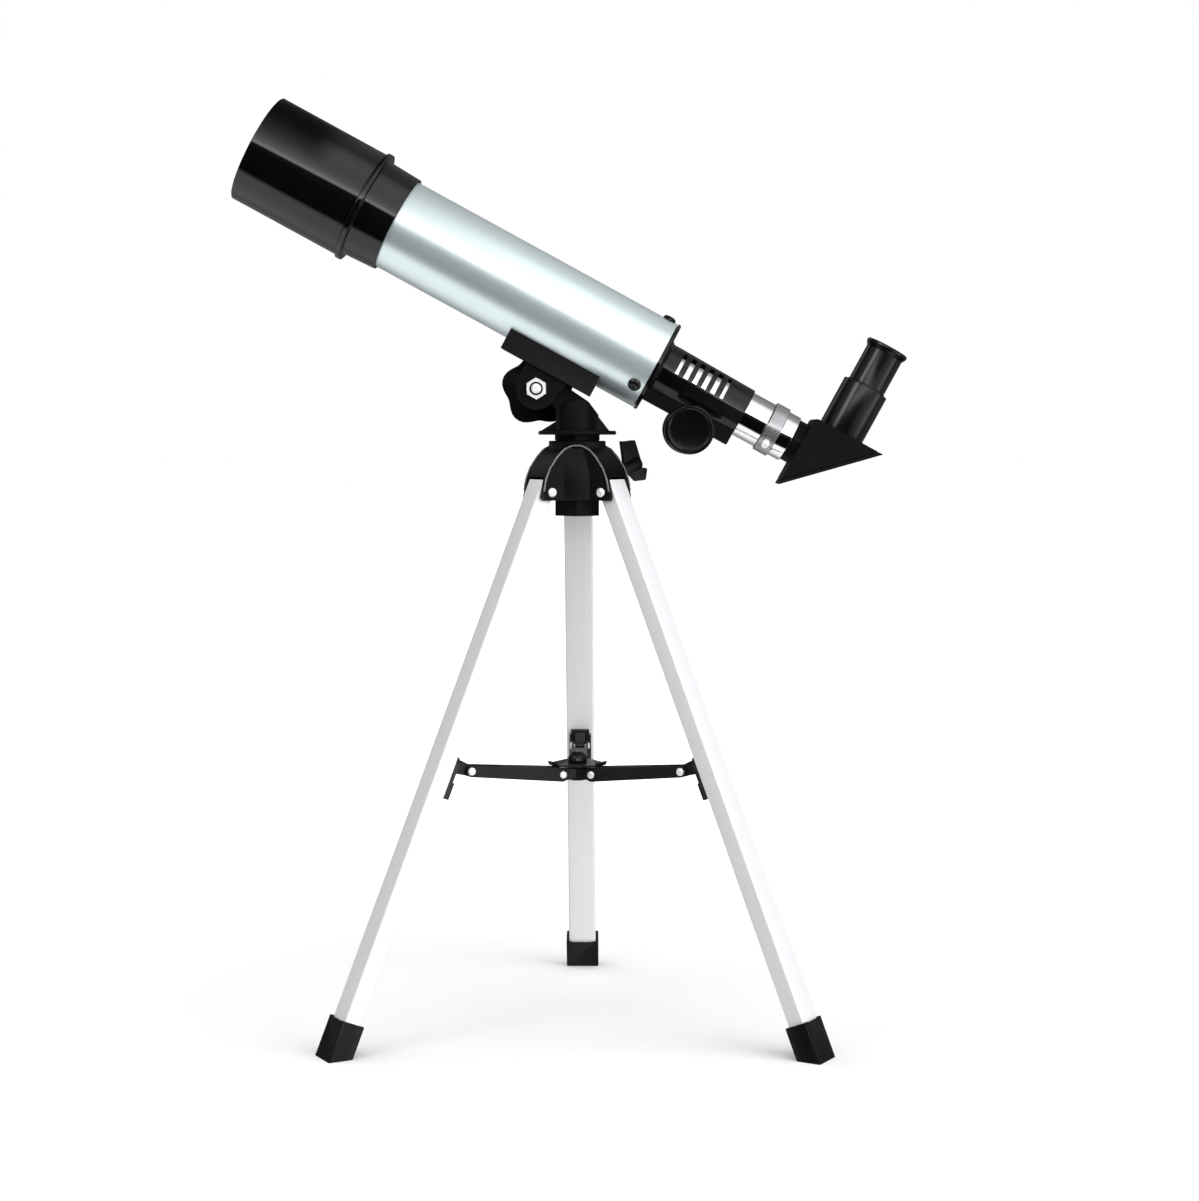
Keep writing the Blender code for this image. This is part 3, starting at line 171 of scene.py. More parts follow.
def finish(
    name, colour, rough, metallic=0.0, mottle=0.04, mottle_scale=60, rough_range=0.05, rough_scale=220,
    bump=0.08, bump_scale=2500, bump_depth=0.0001, stretch=(1, 1, 1), edge=0.0, **sockets,
):
    """Colour mottling, uneven roughness and a fine surface grain, from noise that sticks to the piece.

    `edge` is how far the colour goes lighter where the surface bends sharply.
    """
    made = bpy.data.materials.new(name)
    made.use_nodes = True
    tree = made.node_tree
    new, link = tree.nodes.new, tree.links.new
    shader = tree.nodes["Principled BSDF"]
    shader.inputs["Metallic"].default_value = metallic
    for socket, value in sockets.items():
        shader.inputs[socket.replace("_", " ")].default_value = value
    where = new("ShaderNodeTexCoord")
    mapping = new("ShaderNodeMapping")
    mapping.inputs["Scale"].default_value = stretch
    link(where.outputs["Object"], mapping.inputs["Vector"])

    def noise(scale, detail):
        made_noise = new("ShaderNodeTexNoise")
        made_noise.inputs["Scale"].default_value = scale
        made_noise.inputs["Detail"].default_value = detail
        link(mapping.outputs["Vector"], made_noise.inputs["Vector"])
        return made_noise.outputs["Fac"]

    ramp = new("ShaderNodeValToRGB")
    ramp.color_ramp.elements[0].position = 0.3
    ramp.color_ramp.elements[1].position = 0.7
    ramp.color_ramp.elements[0].color = tuple(c * (1 - mottle) for c in colour) + (1,)
    ramp.color_ramp.elements[1].color = tuple(min(1, c * (1 + mottle)) for c in colour) + (1,)
    link(noise(mottle_scale, 3), ramp.inputs["Fac"])
    out = ramp.outputs["Color"]
    if edge:
        # the colour goes lighter where the surface bends sharply
        geometry = new("ShaderNodeNewGeometry")
        sharp_bend_lift = new("ShaderNodeMapRange")
        sharp_bend_lift.inputs["From Min"].default_value = EDGE_POINTINESS[0]
        sharp_bend_lift.inputs["From Max"].default_value = EDGE_POINTINESS[1]
        sharp_bend_lift.inputs["To Max"].default_value = edge
        link(geometry.outputs["Pointiness"], sharp_bend_lift.inputs["Value"])
        mix = new("ShaderNodeMix")
        mix.data_type = "RGBA"
        mix.inputs[7].default_value = tuple(min(1, c + EDGE_LIFT) for c in colour) + (1,)
        link(sharp_bend_lift.outputs["Result"], mix.inputs["Factor"])
        link(out, mix.inputs[6])
        out = mix.outputs[2]
    link(out, shader.inputs["Base Color"])
    spread = new("ShaderNodeMapRange")
    spread.inputs["To Min"].default_value = max(0.01, rough - rough_range)
    spread.inputs["To Max"].default_value = rough + rough_range
    link(noise(rough_scale, 2), spread.inputs["Value"])
    link(spread.outputs["Result"], shader.inputs["Roughness"])
    grain = new("ShaderNodeBump")
    grain.inputs["Strength"].default_value = bump
    grain.inputs["Distance"].default_value = bump_depth
    link(noise(bump_scale, 2), grain.inputs["Height"])
    link(grain.outputs["Normal"], shader.inputs["Normal"])
    return made


PEARL = finish(
    "pearl_paint", (0.785, 0.895, 0.91), rough=0.32, metallic=0.72, mottle=0.03, mottle_scale=3200,
    rough_range=0.03, bump=0.05, bump_scale=5200, Coat_Weight=0.15, Coat_Roughness=0.2,
)
GLOSS = finish(
    "gloss_black", (0.0030, 0.0030, 0.0033), rough=0.06, metallic=0, mottle=0.2, rough_range=0.025, bump=0.03,
    bump_scale=420, Specular_IOR_Level=0.50,
)
SATIN = finish(
    "satin_black", (0.0034, 0.0034, 0.0039), rough=0.42, metallic=0, mottle=0.18, rough_range=0.07, bump=0.30,
    bump_scale=3000, edge=0.30, Specular_IOR_Level=0.08,
)
HUB_GRAIN = finish(
    "grained_black", (0.0034, 0.0034, 0.0040), rough=0.38, metallic=0, mottle=0.2, rough_range=0.06, bump=0.55,
    bump_scale=2100, edge=0.35, Specular_IOR_Level=0.11,
)
MOULDED = finish(
    "moulded_black", (0.0030, 0.0030, 0.0035), rough=0.12, metallic=0, mottle=0.15, rough_range=0.035, bump=0.05,
    bump_scale=700, edge=0.15, Specular_IOR_Level=0.36,
)
EYEPIECE_BLACK = finish(
    "eyepiece_black", (0.0030, 0.0030, 0.0035), rough=0.17, metallic=0, mottle=0.15, rough_range=0.05, bump=0.08,
    bump_scale=900, edge=0.15, Specular_IOR_Level=0.36,
)
# light grey for the hub's rims: a painted highlight along their ridges
RIM_HIGHLIGHT_GREY = finish(
    "painted_highlight_grey", (0.13, 0.13, 0.135), rough=0.32, metallic=0, mottle=0.35, mottle_scale=400, rough_range=0.1,
    bump=0.2, bump_scale=900, Specular_IOR_Level=0.5,
)
ALUMINIUM = finish(
    "satin_aluminium", (0.68, 0.68, 0.70), rough=0.42, metallic=0.15, mottle=0.015, mottle_scale=900,
    rough_range=0.06, rough_scale=700, bump=0.10, bump_scale=1600, stretch=(1, 1, 0.02),
)
CHROME = finish(
    "chrome", (0.88, 0.88, 0.90), rough=0.05, metallic=1, mottle=0.01, rough_range=0.02, bump=0.01, bump_scale=300,
)
SATIN_CHROME = finish(
    "satin_chrome", (0.40, 0.40, 0.415), rough=0.24, metallic=0.75, mottle=0.02, rough_range=0.03, bump=0.02,
    bump_scale=900,
)
STEEL = finish(
    "zinc_steel", (0.90, 0.90, 0.91), rough=0.24, metallic=0.35, mottle=0.03, mottle_scale=500, rough_range=0.05,
    bump=0.02,
)
BLACK_STEEL = finish(
    "black_steel", (0.006, 0.006, 0.0068), rough=0.34, metallic=0, mottle=0.2, rough_range=0.07, bump=0.15,
    bump_scale=1300, edge=0.4, Specular_IOR_Level=0.3,
)
RUBBER = finish(
    "foot_plastic", (0.0030, 0.0030, 0.0034), rough=0.30, metallic=0, mottle=0.2, rough_range=0.08, bump=0.12,
    bump_scale=700, edge=0.2, Specular_IOR_Level=0.18,
)
GLASS = finish(
    "lens_glass", (0.90, 0.97, 0.95), rough=0.02, metallic=0, mottle=0.01, rough_range=0.008, bump=0.0,
    Transmission_Weight=0.92, IOR=1.52, Coat_Weight=0.6, Coat_Tint=(0.45, 0.75, 0.62, 1), Coat_Roughness=0.02,
)
MIRROR = finish("mirror", (0.92, 0.92, 0.93), rough=0.03, metallic=1, mottle=0.01, rough_range=0.01, bump=0.0)
NYLON = finish("white_nylon", (0.62, 0.62, 0.61), rough=0.45, metallic=0, mottle=0.05, rough_range=0.05, bump=0.1)


# ---------------------------------------------------------------- pieces


def settle(name, bm, place, material, body, replaced=(), sharp=32):
    """Makes a piece of a bmesh drawn in the frame `place`, shaded smooth between its sharp edges."""
    bmesh.ops.recalc_face_normals(bm, faces=bm.faces)
    mesh = bpy.data.meshes.new(name)
    bm.to_mesh(mesh)
    bm.free()
    mesh.shade_smooth()
    mesh.set_sharp_from_angle(angle=math.radians(sharp))
    mesh.materials.append(material)
    obj = bpy.data.objects.new(name, mesh)
    bpy.context.scene.collection.objects.link(obj)
    obj.matrix_world = place
    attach(obj, body)
    if replaced:
        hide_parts(*replaced)
    return obj


def join(bm, lower, upper):
    """Faces between two closed rings of as many points."""
    count = len(lower)
    for k in range(count):
        n = (k + 1) % count
        bm.faces.new((lower[k], lower[n], upper[n], upper[k]))


NO_LENGTH = 1e-9
FLAT_CORNER = math.radians(84)  # half the angle of a corner too flat to round
LONGEST_CUT = 0.45  # of each side of a corner


def round_profile(profile, radius, closed=True, steps=4):
    """The profile with each corner turned into an arc of up to that radius. Corners on the axis stay."""
    out = []
    count = len(profile)
    for i, point in enumerate(profile):
        before, after = Vector(profile[i - 1]), Vector(profile[(i + 1) % count])
        here = Vector(point)
        if point[0] <= 0 or (not closed and i in (0, count - 1)):
            out.append(tuple(here))
            continue
        a, b = before - here, after - here
        if a.length < NO_LENGTH or b.length < NO_LENGTH:
            out.append(tuple(here))
            continue
        half = a.angle(b) / 2
        if half > FLAT_CORNER:
            out.append(tuple(here))
            continue
        reach = min(radius / math.tan(half), a.length * LONGEST_CUT, b.length * LONGEST_CUT)
        start, end = here + a.normalized() * reach, here + b.normalized() * reach
        for k in range(steps + 1):
            t = k / steps
            out.append(tuple(start * (1 - t) ** 2 + here * 2 * t * (1 - t) + end * t * t))
    return out


ON_AXIS = 1e-7


def lathe(bm, profile, steps=112, ribs=None):
    """Turns a profile of (radius, height) about z. Ribs are (lowest radius, count, depth) on the outside."""
    rings = []
    for radius, height in profile:
        if radius < ON_AXIS:
            rings.append([bm.verts.new((0, 0, height))])
            continue
        ring = []
        for k in range(steps):
            angle = 2 * math.pi * k / steps
            r = radius
            if ribs and radius >= ribs[0]:
                r -= ribs[2] * (0.5 + 0.5 * math.cos(ribs[1] * angle))
            ring.append(bm.verts.new((r * math.cos(angle), r * math.sin(angle), height)))
        rings.append(ring)
    for lower, upper in zip(rings, rings[1:] + rings[:1]):
        if len(lower) == 1 and len(upper) == 1:
            continue
        for k in range(steps):
            n = (k + 1) % steps
            corners = [lower[k % len(lower)], lower[n % len(lower)], upper[n % len(upper)], upper[k % len(upper)]]
            unique = list(dict.fromkeys(corners))
            if len(unique) > 2:
                bm.faces.new(unique)


def turned(name, profile, place, material, body, replaced=(), radius=0.0003, steps=112, ribs=None, sharp=32):
    """A piece turned about its own z from a closed outline of (radius, height) with rounded corners."""
    bm = bmesh.new()
    lathe(bm, round_profile(profile, radius), steps, ribs)
    return settle(name, bm, place, material, body, replaced, sharp=sharp)


CROSS_TAPER = 0.55  # of its width, at the bottom of the cross


def recess(obj, width, length, depth, top):
    """Cuts a cross into a screw head whose top is at height `top` on its own z."""
    bm = bmesh.new()
    for size in ((length, width), (width, length)):
        for v in bmesh.ops.create_cube(bm, size=1.0)["verts"]:
            taper = 1.0 if v.co.z > 0 else CROSS_TAPER
            v.co = Vector((v.co.x * size[0] * taper, v.co.y * size[1] * taper, v.co.z * depth * 2 + top))
    mesh = bpy.data.meshes.new("cross")
    bm.to_mesh(mesh)
    bm.free()
    cutter = bpy.data.objects.new("cross", mesh)
    bpy.context.scene.collection.objects.link(cutter)
    cutter.matrix_world = obj.matrix_world
    bpy.context.view_layer.update()
    mod = obj.modifiers.new("cross", "BOOLEAN")
    mod.object, mod.operation, mod.solver = cutter, "DIFFERENCE", "EXACT"
    mod.use_self = True
    graph = bpy.context.evaluated_depsgraph_get()
    cut_mesh = bpy.data.meshes.new_from_object(obj.evaluated_get(graph))
    obj.modifiers.clear()
    cut_mesh.name = obj.name
    obj.data = cut_mesh
    cut_mesh.set_sharp_from_angle(angle=math.radians(32))
    bpy.data.objects.remove(cutter)


SAME_POINT, SAME_PLANE = 2e-6, math.radians(0.4)


def softened(node, material, place, width=0.0004, segments=2, angle=30, sharp=40, rim=None):
    """The CAD node's own shape with its edges rounded over, drawn in the frame `place`.

    What stands above the height `rim` is pressed nearly flat.
    """
    source = frame["nodes"][node]
    bm = bmesh.new()
    bm.from_mesh(source.data)
    bmesh.ops.remove_doubles(bm, verts=bm.verts, dist=SAME_POINT)
    bmesh.ops.dissolve_limit(
        bm, angle_limit=SAME_PLANE, verts=bm.verts, edges=bm.edges, use_dissolve_boundaries=False
    )
    bm.transform(place.inverted())
    for v in bm.verts:
        if rim is not None and v.co.z > rim:
            v.co.z = rim + (v.co.z - rim) * RIM_SQUEEZE
    obj = settle(f"{node}_shell", bm, place, material, source["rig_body"], [node], sharp=sharp)
    if width:
        mod = obj.modifiers.new("edges", "BEVEL")
        mod.width, mod.segments = width, segments
        mod.limit_method, mod.angle_limit = "ANGLE", math.radians(angle)
        mod.use_clamp_overlap = True


def carried(node, material):
    """A CAD node that shows as it is, with a finished material."""
    obj = frame["nodes"][node]
    obj.data.materials.clear()
    obj.data.materials.append(material)


# ---------------------------------------------------------------- telescope


def screw_profile(radius, height, shank, length):
    """A domed head on a plain shank, as an outline of (radius, height) from the top down."""
    dome = [(0, height), (radius * 0.45, height * 0.96), (radius * 0.78, height * 0.76)]
    dome += [(radius * 0.95, height * 0.45), (radius, height * 0.12)]
    return dome + [(radius, 0), (shank, 0), (shank, -length), (0, -length)]


def optical_tube():
    """The painted tube, the three screws round its rear end, and its baffle."""
    bore = TUBE_RADIUS - TUBE_WALL
    outline = [(bore, -GAP), (TUBE_RADIUS, -GAP), (TUBE_RADIUS, -TUBE_LENGTH), (bore, -TUBE_LENGTH)]
    turned("optical_tube_skin", outline, ALONG, PEARL, "telescope", ["optical_tube"], radius=0.0003, steps=160)
    for side, angle in TUBE_SCREW_ANGLES.items():
        a = math.radians(angle)
        seat = TUBE_RADIUS + 0.0001
        place = TUBE @ matrix((TUBE_SCREW_X, seat * math.sin(a), seat * math.cos(a)), (-a, 0, 0))
        head = turned(
            f"tube_screw_{side}_head", screw_profile(radius=0.0040, height=0.0022, shank=0.0015, length=0.0036),
            place, MOULDED, "telescope", [f"tube_screw_{side}"], radius=0.0003, steps=40,
        )
        recess(head, width=0.0007, length=0.0034, depth=0.0010, top=0.0022)
    carried("tube_baffle", SATIN)


def objective():
    """The cell and its flange, the dew shield with its inner grooves, and the two lenses under their ring."""
    lip = CELL_FLANGE + FLANGE_THICK + 0.0090
    seat = LENS_RADIUS + GAP
    outline = [(TUBE_RADIUS + GAP, -CELL_REAR), (CELL_RADIUS_REAR, -CELL_REAR), (CELL_RADIUS_FRONT, -CELL_FLANGE)]
    outline += [(FLANGE_RADIUS, -CELL_FLANGE), (FLANGE_RADIUS, -CELL_FLANGE - FLANGE_THICK)]
    outline += [(SPIGOT_RADIUS, -CELL_FLANGE - FLANGE_THICK), (SPIGOT_RADIUS, -lip), (seat, -lip)]
    outline += [(seat, -LENS_SEAT), (0.0250, -LENS_SEAT), (0.0250, -CELL_SHOULDER)]
    outline.append((TUBE_RADIUS + GAP, -CELL_SHOULDER))
    turned("objective_cell_body", outline, ALONG, GLOSS, "telescope", ["objective_cell"], radius=0.0006, steps=160)
    rear = CELL_FLANGE + FLANGE_THICK + 0.00005
    step = rear + 0.0100
    bore = SPIGOT_RADIUS + GAP
    outline = [(bore, -rear), (SHIELD_RADIUS, -rear), (SHIELD_RADIUS, -SHIELD_FRONT)]
    outline += [(SHIELD_RADIUS - 0.0014, -SHIELD_FRONT), (SHIELD_RADIUS - 0.0015, -SHIELD_FRONT + 0.0030)]
    groove = SHIELD_FRONT - 0.0045
    while groove > step + 0.0030:
        outline += [(SHIELD_RADIUS - 0.0015, -groove), (SHIELD_RADIUS - 0.0020, -groove + 0.0008)]
        groove -= 0.0016
    outline += [(SHIELD_RADIUS - 0.0019, -step), (bore, -step)]
    turned("dew_shield_body", outline, ALONG, GLOSS, "telescope", ["dew_shield"], radius=0.0004, steps=160)
    forwards = TUBE @ matrix(rotation=(0, -QUARTER, 0))
    for name, rear_edge, front_edge, rear_sag, front_sag in (
        ("objective_flint_lens", 0.1931, 0.1977, 0.0, -LENS_SAG),
        ("objective_crown_lens", 0.1980, 0.2010, LENS_SAG, LENS_SAG),
    ):
        lens(
            f"{name}_glass", radius=LENS_RADIUS, rear=rear_edge, front=front_edge, rear_sag=rear_sag,
            front_sag=front_sag, place=forwards, body="telescope", node=name,
        )
    outline = [(0.0240, -0.2017), (LENS_RADIUS, -0.2017), (LENS_RADIUS, -0.2056), (0.0244, -0.2056)]
    turned("lens_retaining_ring_body", outline, ALONG, SATIN, "telescope", ["lens_retaining_ring"], radius=0.0003)


LENS_STEPS = 14


def lens(name, radius, rear, front, rear_sag, front_sag, place, body, node):
    """A lens between two domed faces, each with its height at the edge and how far its middle stands out."""
    face = [radius * i / LENS_STEPS for i in range(LENS_STEPS + 1)]
    profile = [(r, front + front_sag * (1 - (r / radius) ** 2)) for r in face]
    profile += [(r, rear - rear_sag * (1 - (r / radius) ** 2)) for r in reversed(face)]
    bm = bmesh.new()
    lathe(bm, profile, 96)
    settle(name, bm, place, GLASS, body, [node], sharp=50)


# ---------------------------------------------------------------- focuser and eyepiece


def focuser():
    """The housing with its slots, the pinion on its shaft under a screwed cover, and the two knobs."""
    softened("focuser_housing", MOULDED, TUBE, width=0.0005, segments=3, angle=28, sharp=34)
    softened("pinion_cover", MOULDED, FOCUS, width=0.0003, segments=2)
    for name, x in (("front", -0.0072), ("rear", 0.0072)):
        place = FOCUS @ matrix((x, -0.0094, 0.0075), (QUARTER, 0, 0))
        head = turned(
            f"pinion_cover_screw_{name}_head",
            screw_profile(radius=0.0018, height=0.0010, shank=0.0008, length=0.0042), place, STEEL, "telescope",
            [f"pinion_cover_screw_{name}"], radius=0.0002, steps=32,
        )
        recess(head, width=0.0004, length=0.0018, depth=0.0005, top=0.0010)
    carried("pinion_shaft", STEEL)
    carried("focus_pinion", NYLON)
    radius, inner, outer = KNOB_RADIUS, KNOB_INNER, KNOB_OUTER
    for name, turn in (("near", 0.0), ("far", math.radians(180))):
        profile = [(0, outer - 0.0009), (0.0040, outer - 0.0009), (radius - 0.0031, outer - 0.0007)]
        profile += [(radius - 0.0023, outer), (radius - 0.0011, outer), (radius, outer - 0.0014)]
        profile += [(radius, inner + 0.0012), (radius - 0.0010, inner), (0.0062, inner), (0.0062, 0.0112)]
        profile += [(0.0023, 0.0112), (0.0023, 0.0253), (0, 0.0253)]
        turned(
            f"focus_knob_{name}_grip", profile, FOCUS @ matrix(rotation=(0, turn, 0)), MOULDED, "focus_pinion",
            [f"focus_knob_{name}"], radius=0.0006, steps=240, ribs=(radius - 0.0004, 60, 0.00022), sharp=50,
        )


def drawtube():
    """The chrome tube with its rack, and the collar with its set screw."""
    bore = DRAWTUBE_RADIUS - DRAWTUBE_WALL
    outline = [(bore, DRAWTUBE_OUT), (DRAWTUBE_RADIUS, DRAWTUBE_OUT), (DRAWTUBE_RADIUS, DRAWTUBE_IN)]
    outline += [(bore, DRAWTUBE_IN)]
    turned("drawtube_skin", outline, ALONG, CHROME, "drawtube", ["drawtube"], radius=0.0003, steps=144)
    carried("focus_rack", NYLON)
    neck = COLLAR_NECK_RADIUS
    outline = [(ACCESSORY_BORE, COLLAR_END), (neck, COLLAR_END), (neck, COLLAR_STEP)]
    outline += [(COLLAR_RADIUS, COLLAR_STEP), (COLLAR_RADIUS, COLLAR_START), (ACCESSORY_BORE, COLLAR_START)]
    turned(
        "drawtube_collar_ring", outline, ALONG, SATIN_CHROME, "drawtube", ["drawtube_collar"], radius=0.0004,
        steps=144,
    )
    # the collar's neck is polished, so a thin bright sleeve covers it
    sleeve = [(neck - 0.0006, COLLAR_END + 0.00002), (neck + 0.0001, COLLAR_END + 0.00002)]
    sleeve += [(neck + 0.0001, COLLAR_STEP + 0.0002), (neck - 0.0006, COLLAR_STEP + 0.0002)]
    turned("drawtube_collar_sleeve", sleeve, ALONG, CHROME, "drawtube", (), radius=0.0001, steps=144)
    tilt = TUBE @ matrix((COLLAR_SCREW_X, 0, 0), (math.radians(-COLLAR_SCREW_ANGLE), 0, 0))
    profile = [(0, 0.0193), (0.0008, 0.0193), (0.0009, 0.0198), (0.0019, 0.0198), (0.0023, 0.0194)]
    profile += [(0.0023, 0.0162), (0.0014, 0.0162), (0.0014, 0.0127), (0, 0.0127)]
    turned(
        "collar_screw_head", profile, tilt, STEEL, "collar_screw", ["collar_screw"], radius=0.0001, steps=72,
        ribs=(0.00215, 18, 0.0002),
    )


def diagonal():
    """The right-angle housing with its mirror and barrel, and the socket for the eyepiece."""
    softened("diagonal_housing", SATIN, TUBE, width=0.0007, segments=3, angle=28, sharp=34)
    softened("diagonal_cover", SATIN, TUBE, width=0.0005, segments=2)
    carried("diagonal_mirror", MIRROR)
    end = DIAGONAL_FRONT + 0.0016
    outline = [(0.0112, end), (ACCESSORY_RADIUS, end), (ACCESSORY_RADIUS, 0.0760), (0.0112, 0.0760)]
    turned(
        "diagonal_barrel_skin", outline, ALONG, CHROME, "diagonal", ["diagonal_barrel"], radius=0.0003, steps=128,
    )
    foot = DIAGONAL_TOP + 0.00005
    outline = [(ACCESSORY_BORE, SOCKET_TOP), (SOCKET_RADIUS, SOCKET_TOP), (SOCKET_RADIUS, foot), (0.0132, foot)]
    outline += [(0.0132, 0.0154), (ACCESSORY_BORE, 0.0154)]
    turned(
        "eyepiece_socket_sleeve", outline, EYEPIECE, EYEPIECE_BLACK, "diagonal", ["eyepiece_socket"], radius=0.0006,
        steps=144,
    )


def eyepiece():
    """The barrel with its flared cup, and its two lenses."""
    top = EYEPIECE_TOP
    outline = [(0.0062, top - 0.0030), (0.0100, top - 0.0004), (0.0126, top), (0.0131, top - 0.0006)]
    outline += [(0.0131, top - 0.0018), (0.0127, top - 0.0026), (0.0116, top - 0.0044), (0.0116, 0.0496)]
    outline += [(0.0122, 0.0492), (0.0122, 0.0220), (0.0110, 0.0220), (0.0110, 0.0640), (0.0079, 0.0640)]
    outline += [(0.0079, 0.0698), (0.0062, 0.0698)]
    turned(
        "eyepiece_barrel", outline, EYEPIECE, EYEPIECE_BLACK, "eyepiece", ["eyepiece_body"], radius=0.0004,
        steps=144,
    )
    lens(
        "eyepiece_field_glass", radius=0.0107, rear=0.0290, front=0.0308, rear_sag=0.0, front_sag=0.0022,
        place=EYEPIECE, body="eyepiece", node="eyepiece_field_lens",
    )
    lens(
        "eyepiece_eye_glass", radius=0.0076, rear=0.0655, front=0.0670, rear_sag=0.0010, front_sag=0.0016,
        place=EYEPIECE, body="eyepiece", node="eyepiece_eye_lens",
    )


# ---------------------------------------------------------------- altitude joint and head


def altitude():
    """The saddle under the tube, and the bolt through its cheeks with knob, nut and washers."""
    softened("tube_saddle", SATIN, TUBE, width=0.0005, segments=3, angle=30, sharp=34)
    for end in ("front", "rear"):
        carried(f"saddle_screw_{end}", STEEL)
    softened("altitude_knob", SATIN, ALTITUDE, width=0.0006, segments=2, angle=40, sharp=44)
    profile = [(0, BOLT_END), (BOLT_RADIUS - 0.0007, BOLT_END), (BOLT_RADIUS, BOLT_END - 0.0007)]
    thread = BOLT_END - 0.0010
    while thread > CHEEK_OUTER + THREAD_PITCH:
        profile += [(BOLT_RADIUS, thread), (BOLT_RADIUS - THREAD_PITCH / 2, thread - THREAD_PITCH / 2)]
        thread -= THREAD_PITCH
    profile += [(BOLT_RADIUS, CHEEK_OUTER - 0.0004), (BOLT_RADIUS, BOLT_TAIL), (0, BOLT_TAIL)]
    turned(
        "altitude_bolt_shank", profile, ALTITUDE, STEEL, "altitude_clamp", ["altitude_bolt"], radius=0.0001,
        steps=64,
    )
    nut()
    for side in ("near", "far"):
        carried(f"friction_washer_{side}", NYLON)


def nut():
    """A hexagon nut with its corners turned off, and a black ring in its recess as a painted dark reflection of its
    inner chamfer.
    """
    start, end = CHEEK_OUTER + GAP, CHEEK_OUTER + NUT_HEIGHT
    angles = [2 * math.pi * k / 72 for k in range(72)]

    def hexagon(z, pull):
        """One ring of the outside, with its corners turned off at `pull` inside the nut's corners."""
        ring = []
        for angle in angles:
            sector = (angle % (math.pi / 3)) - math.pi / 6
            flat = NUT_CORNER * math.cos(math.pi / 6) / math.cos(sector)
            r = min(flat, NUT_CORNER - pull)
            ring.append((r * math.cos(angle), r * math.sin(angle), z))
        return ring

    def circle(z, r):
        return [(r * math.cos(angle), r * math.sin(angle), z) for angle in angles]

    rings = [
        hexagon(start, 0.00045), hexagon(start + 0.0005, 0.0), hexagon(end - 0.0006, 0.0), hexagon(end, 0.00075),
    ]
    rings += [circle(end, NUT_RECESS), circle(end - 0.0005, NUT_BORE), circle(start, NUT_BORE)]
    bm = bmesh.new()
    loops = [[bm.verts.new(p) for p in ring] for ring in rings]
    for lower, upper in zip(loops, loops[1:] + loops[:1]):
        join(bm, lower, upper)
    settle("altitude_nut_hex", bm, ALTITUDE, STEEL, "telescope", ["altitude_nut"], sharp=25)
    # a black ring in the recess: a painted dark reflection of the nut's inner chamfer
    ring = [(0.0030, end - 0.0012), (NUT_RECESS, end - 0.0012), (NUT_RECESS, end + 0.0001), (0.0030, end + 0.0002)]
    turned("altitude_nut_dark_ring", ring, ALTITUDE, SATIN, "telescope", (), radius=0.0001, steps=64)


def head():
    """The arm on its pan joint, and the hub with its lock screw, washer, panels and rims, the rims light grey as a
    painted highlight.
    """
    softened("head_arm", SATIN, TRIPOD, width=0.0006, segments=3, angle=28, sharp=36)
    softened("tripod_hub", HUB_GRAIN, YAWED, width=0.0005, segments=3, angle=26, sharp=36)
    softened("azimuth_lock_screw", SATIN, YAWED, width=0.0004, segments=2, angle=30, sharp=40)
    carried("azimuth_bolt", STEEL)
    carried("azimuth_nut", STEEL)
    low, high = HUB_TOP - 0.0002, HUB_TOP + 0.00026
    ring = [(PAN_WASHER_BORE, low), (PAN_WASHER_RADIUS, low), (PAN_WASHER_RADIUS, high), (PAN_WASHER_BORE, high)]
    turned("pan_washer", ring, TRIPOD, SATIN, "tripod_hub", (), radius=0.00005, steps=64)
    for name, turn in (("front", 0), ("right", 120), ("left", -120)):
        place = YAWED @ matrix(rotation=(0, 0, math.radians(turn)))
        hub_panel(f"hub_panel_{name}", place)
        across, slant = POST_HALF_WIDTH - GAP, math.cos(QUARTER / 3)
        left = [(0.5 * across - out * slant, -out * 0.5 - across * slant, z) for out, z in RIM_PATH]
        right = [(-x, y, z) for x, y, z in reversed(left)]
        bead(f"hub_rim_{name}", left + RIM_APEX + right, radius=RIM_RADIUS, place=place)


def bead(name, points, radius, place):
    """A round moulded rim along a path, coloured light grey as a painted highlight."""
    bm = bmesh.new()
    path = [Vector(p) for p in points]
    rings = []
    for i, here in enumerate(path):
        along = (path[min(i + 1, len(path) - 1)] - path[max(i - 1, 0)]).normalized()
        side = along.cross(Vector((0, -1, 0))).normalized()
        out = side.cross(along)
        turns = [2 * math.pi * k / RIM_SIDES for k in range(RIM_SIDES)]
        rings.append([bm.verts.new(here + (side * math.cos(t) + out * math.sin(t)) * radius) for t in turns])
    for lower, upper in zip(rings, rings[1:]):
        join(bm, lower, upper)
    bm.faces.new(rings[0])
    bm.faces.new(rings[-1])
    settle(name, bm, place, RIM_HIGHLIGHT_GREY, "tripod_hub", (), sharp=60)


def hub_panel(name, place):
    """The rounded panel that fills the valley between two leg housings."""
    bm = bmesh.new()
    steps = range(-PANEL_STEPS, PANEL_STEPS + 1)
    angles = [math.radians(-90 + PANEL_HALF_ANGLE * k / PANEL_STEPS) for k in steps]
    rings = []
    for z, radius in PANEL_LEVELS:
        outer = [bm.verts.new((radius * math.cos(a), radius * math.sin(a), z)) for a in angles]
        inner = [bm.verts.new((PANEL_INNER * math.cos(a), PANEL_INNER * math.sin(a), z)) for a in reversed(angles)]
        rings.append(outer + inner)
    for lower, upper in zip(rings, rings[1:]):
        join(bm, lower, upper)
    bm.faces.new(rings[0])
    bm.faces.new(rings[-1])
    settle(name, bm, place, HUB_GRAIN, "tripod_hub", (), sharp=40)


# ---------------------------------------------------------------- legs and spreader


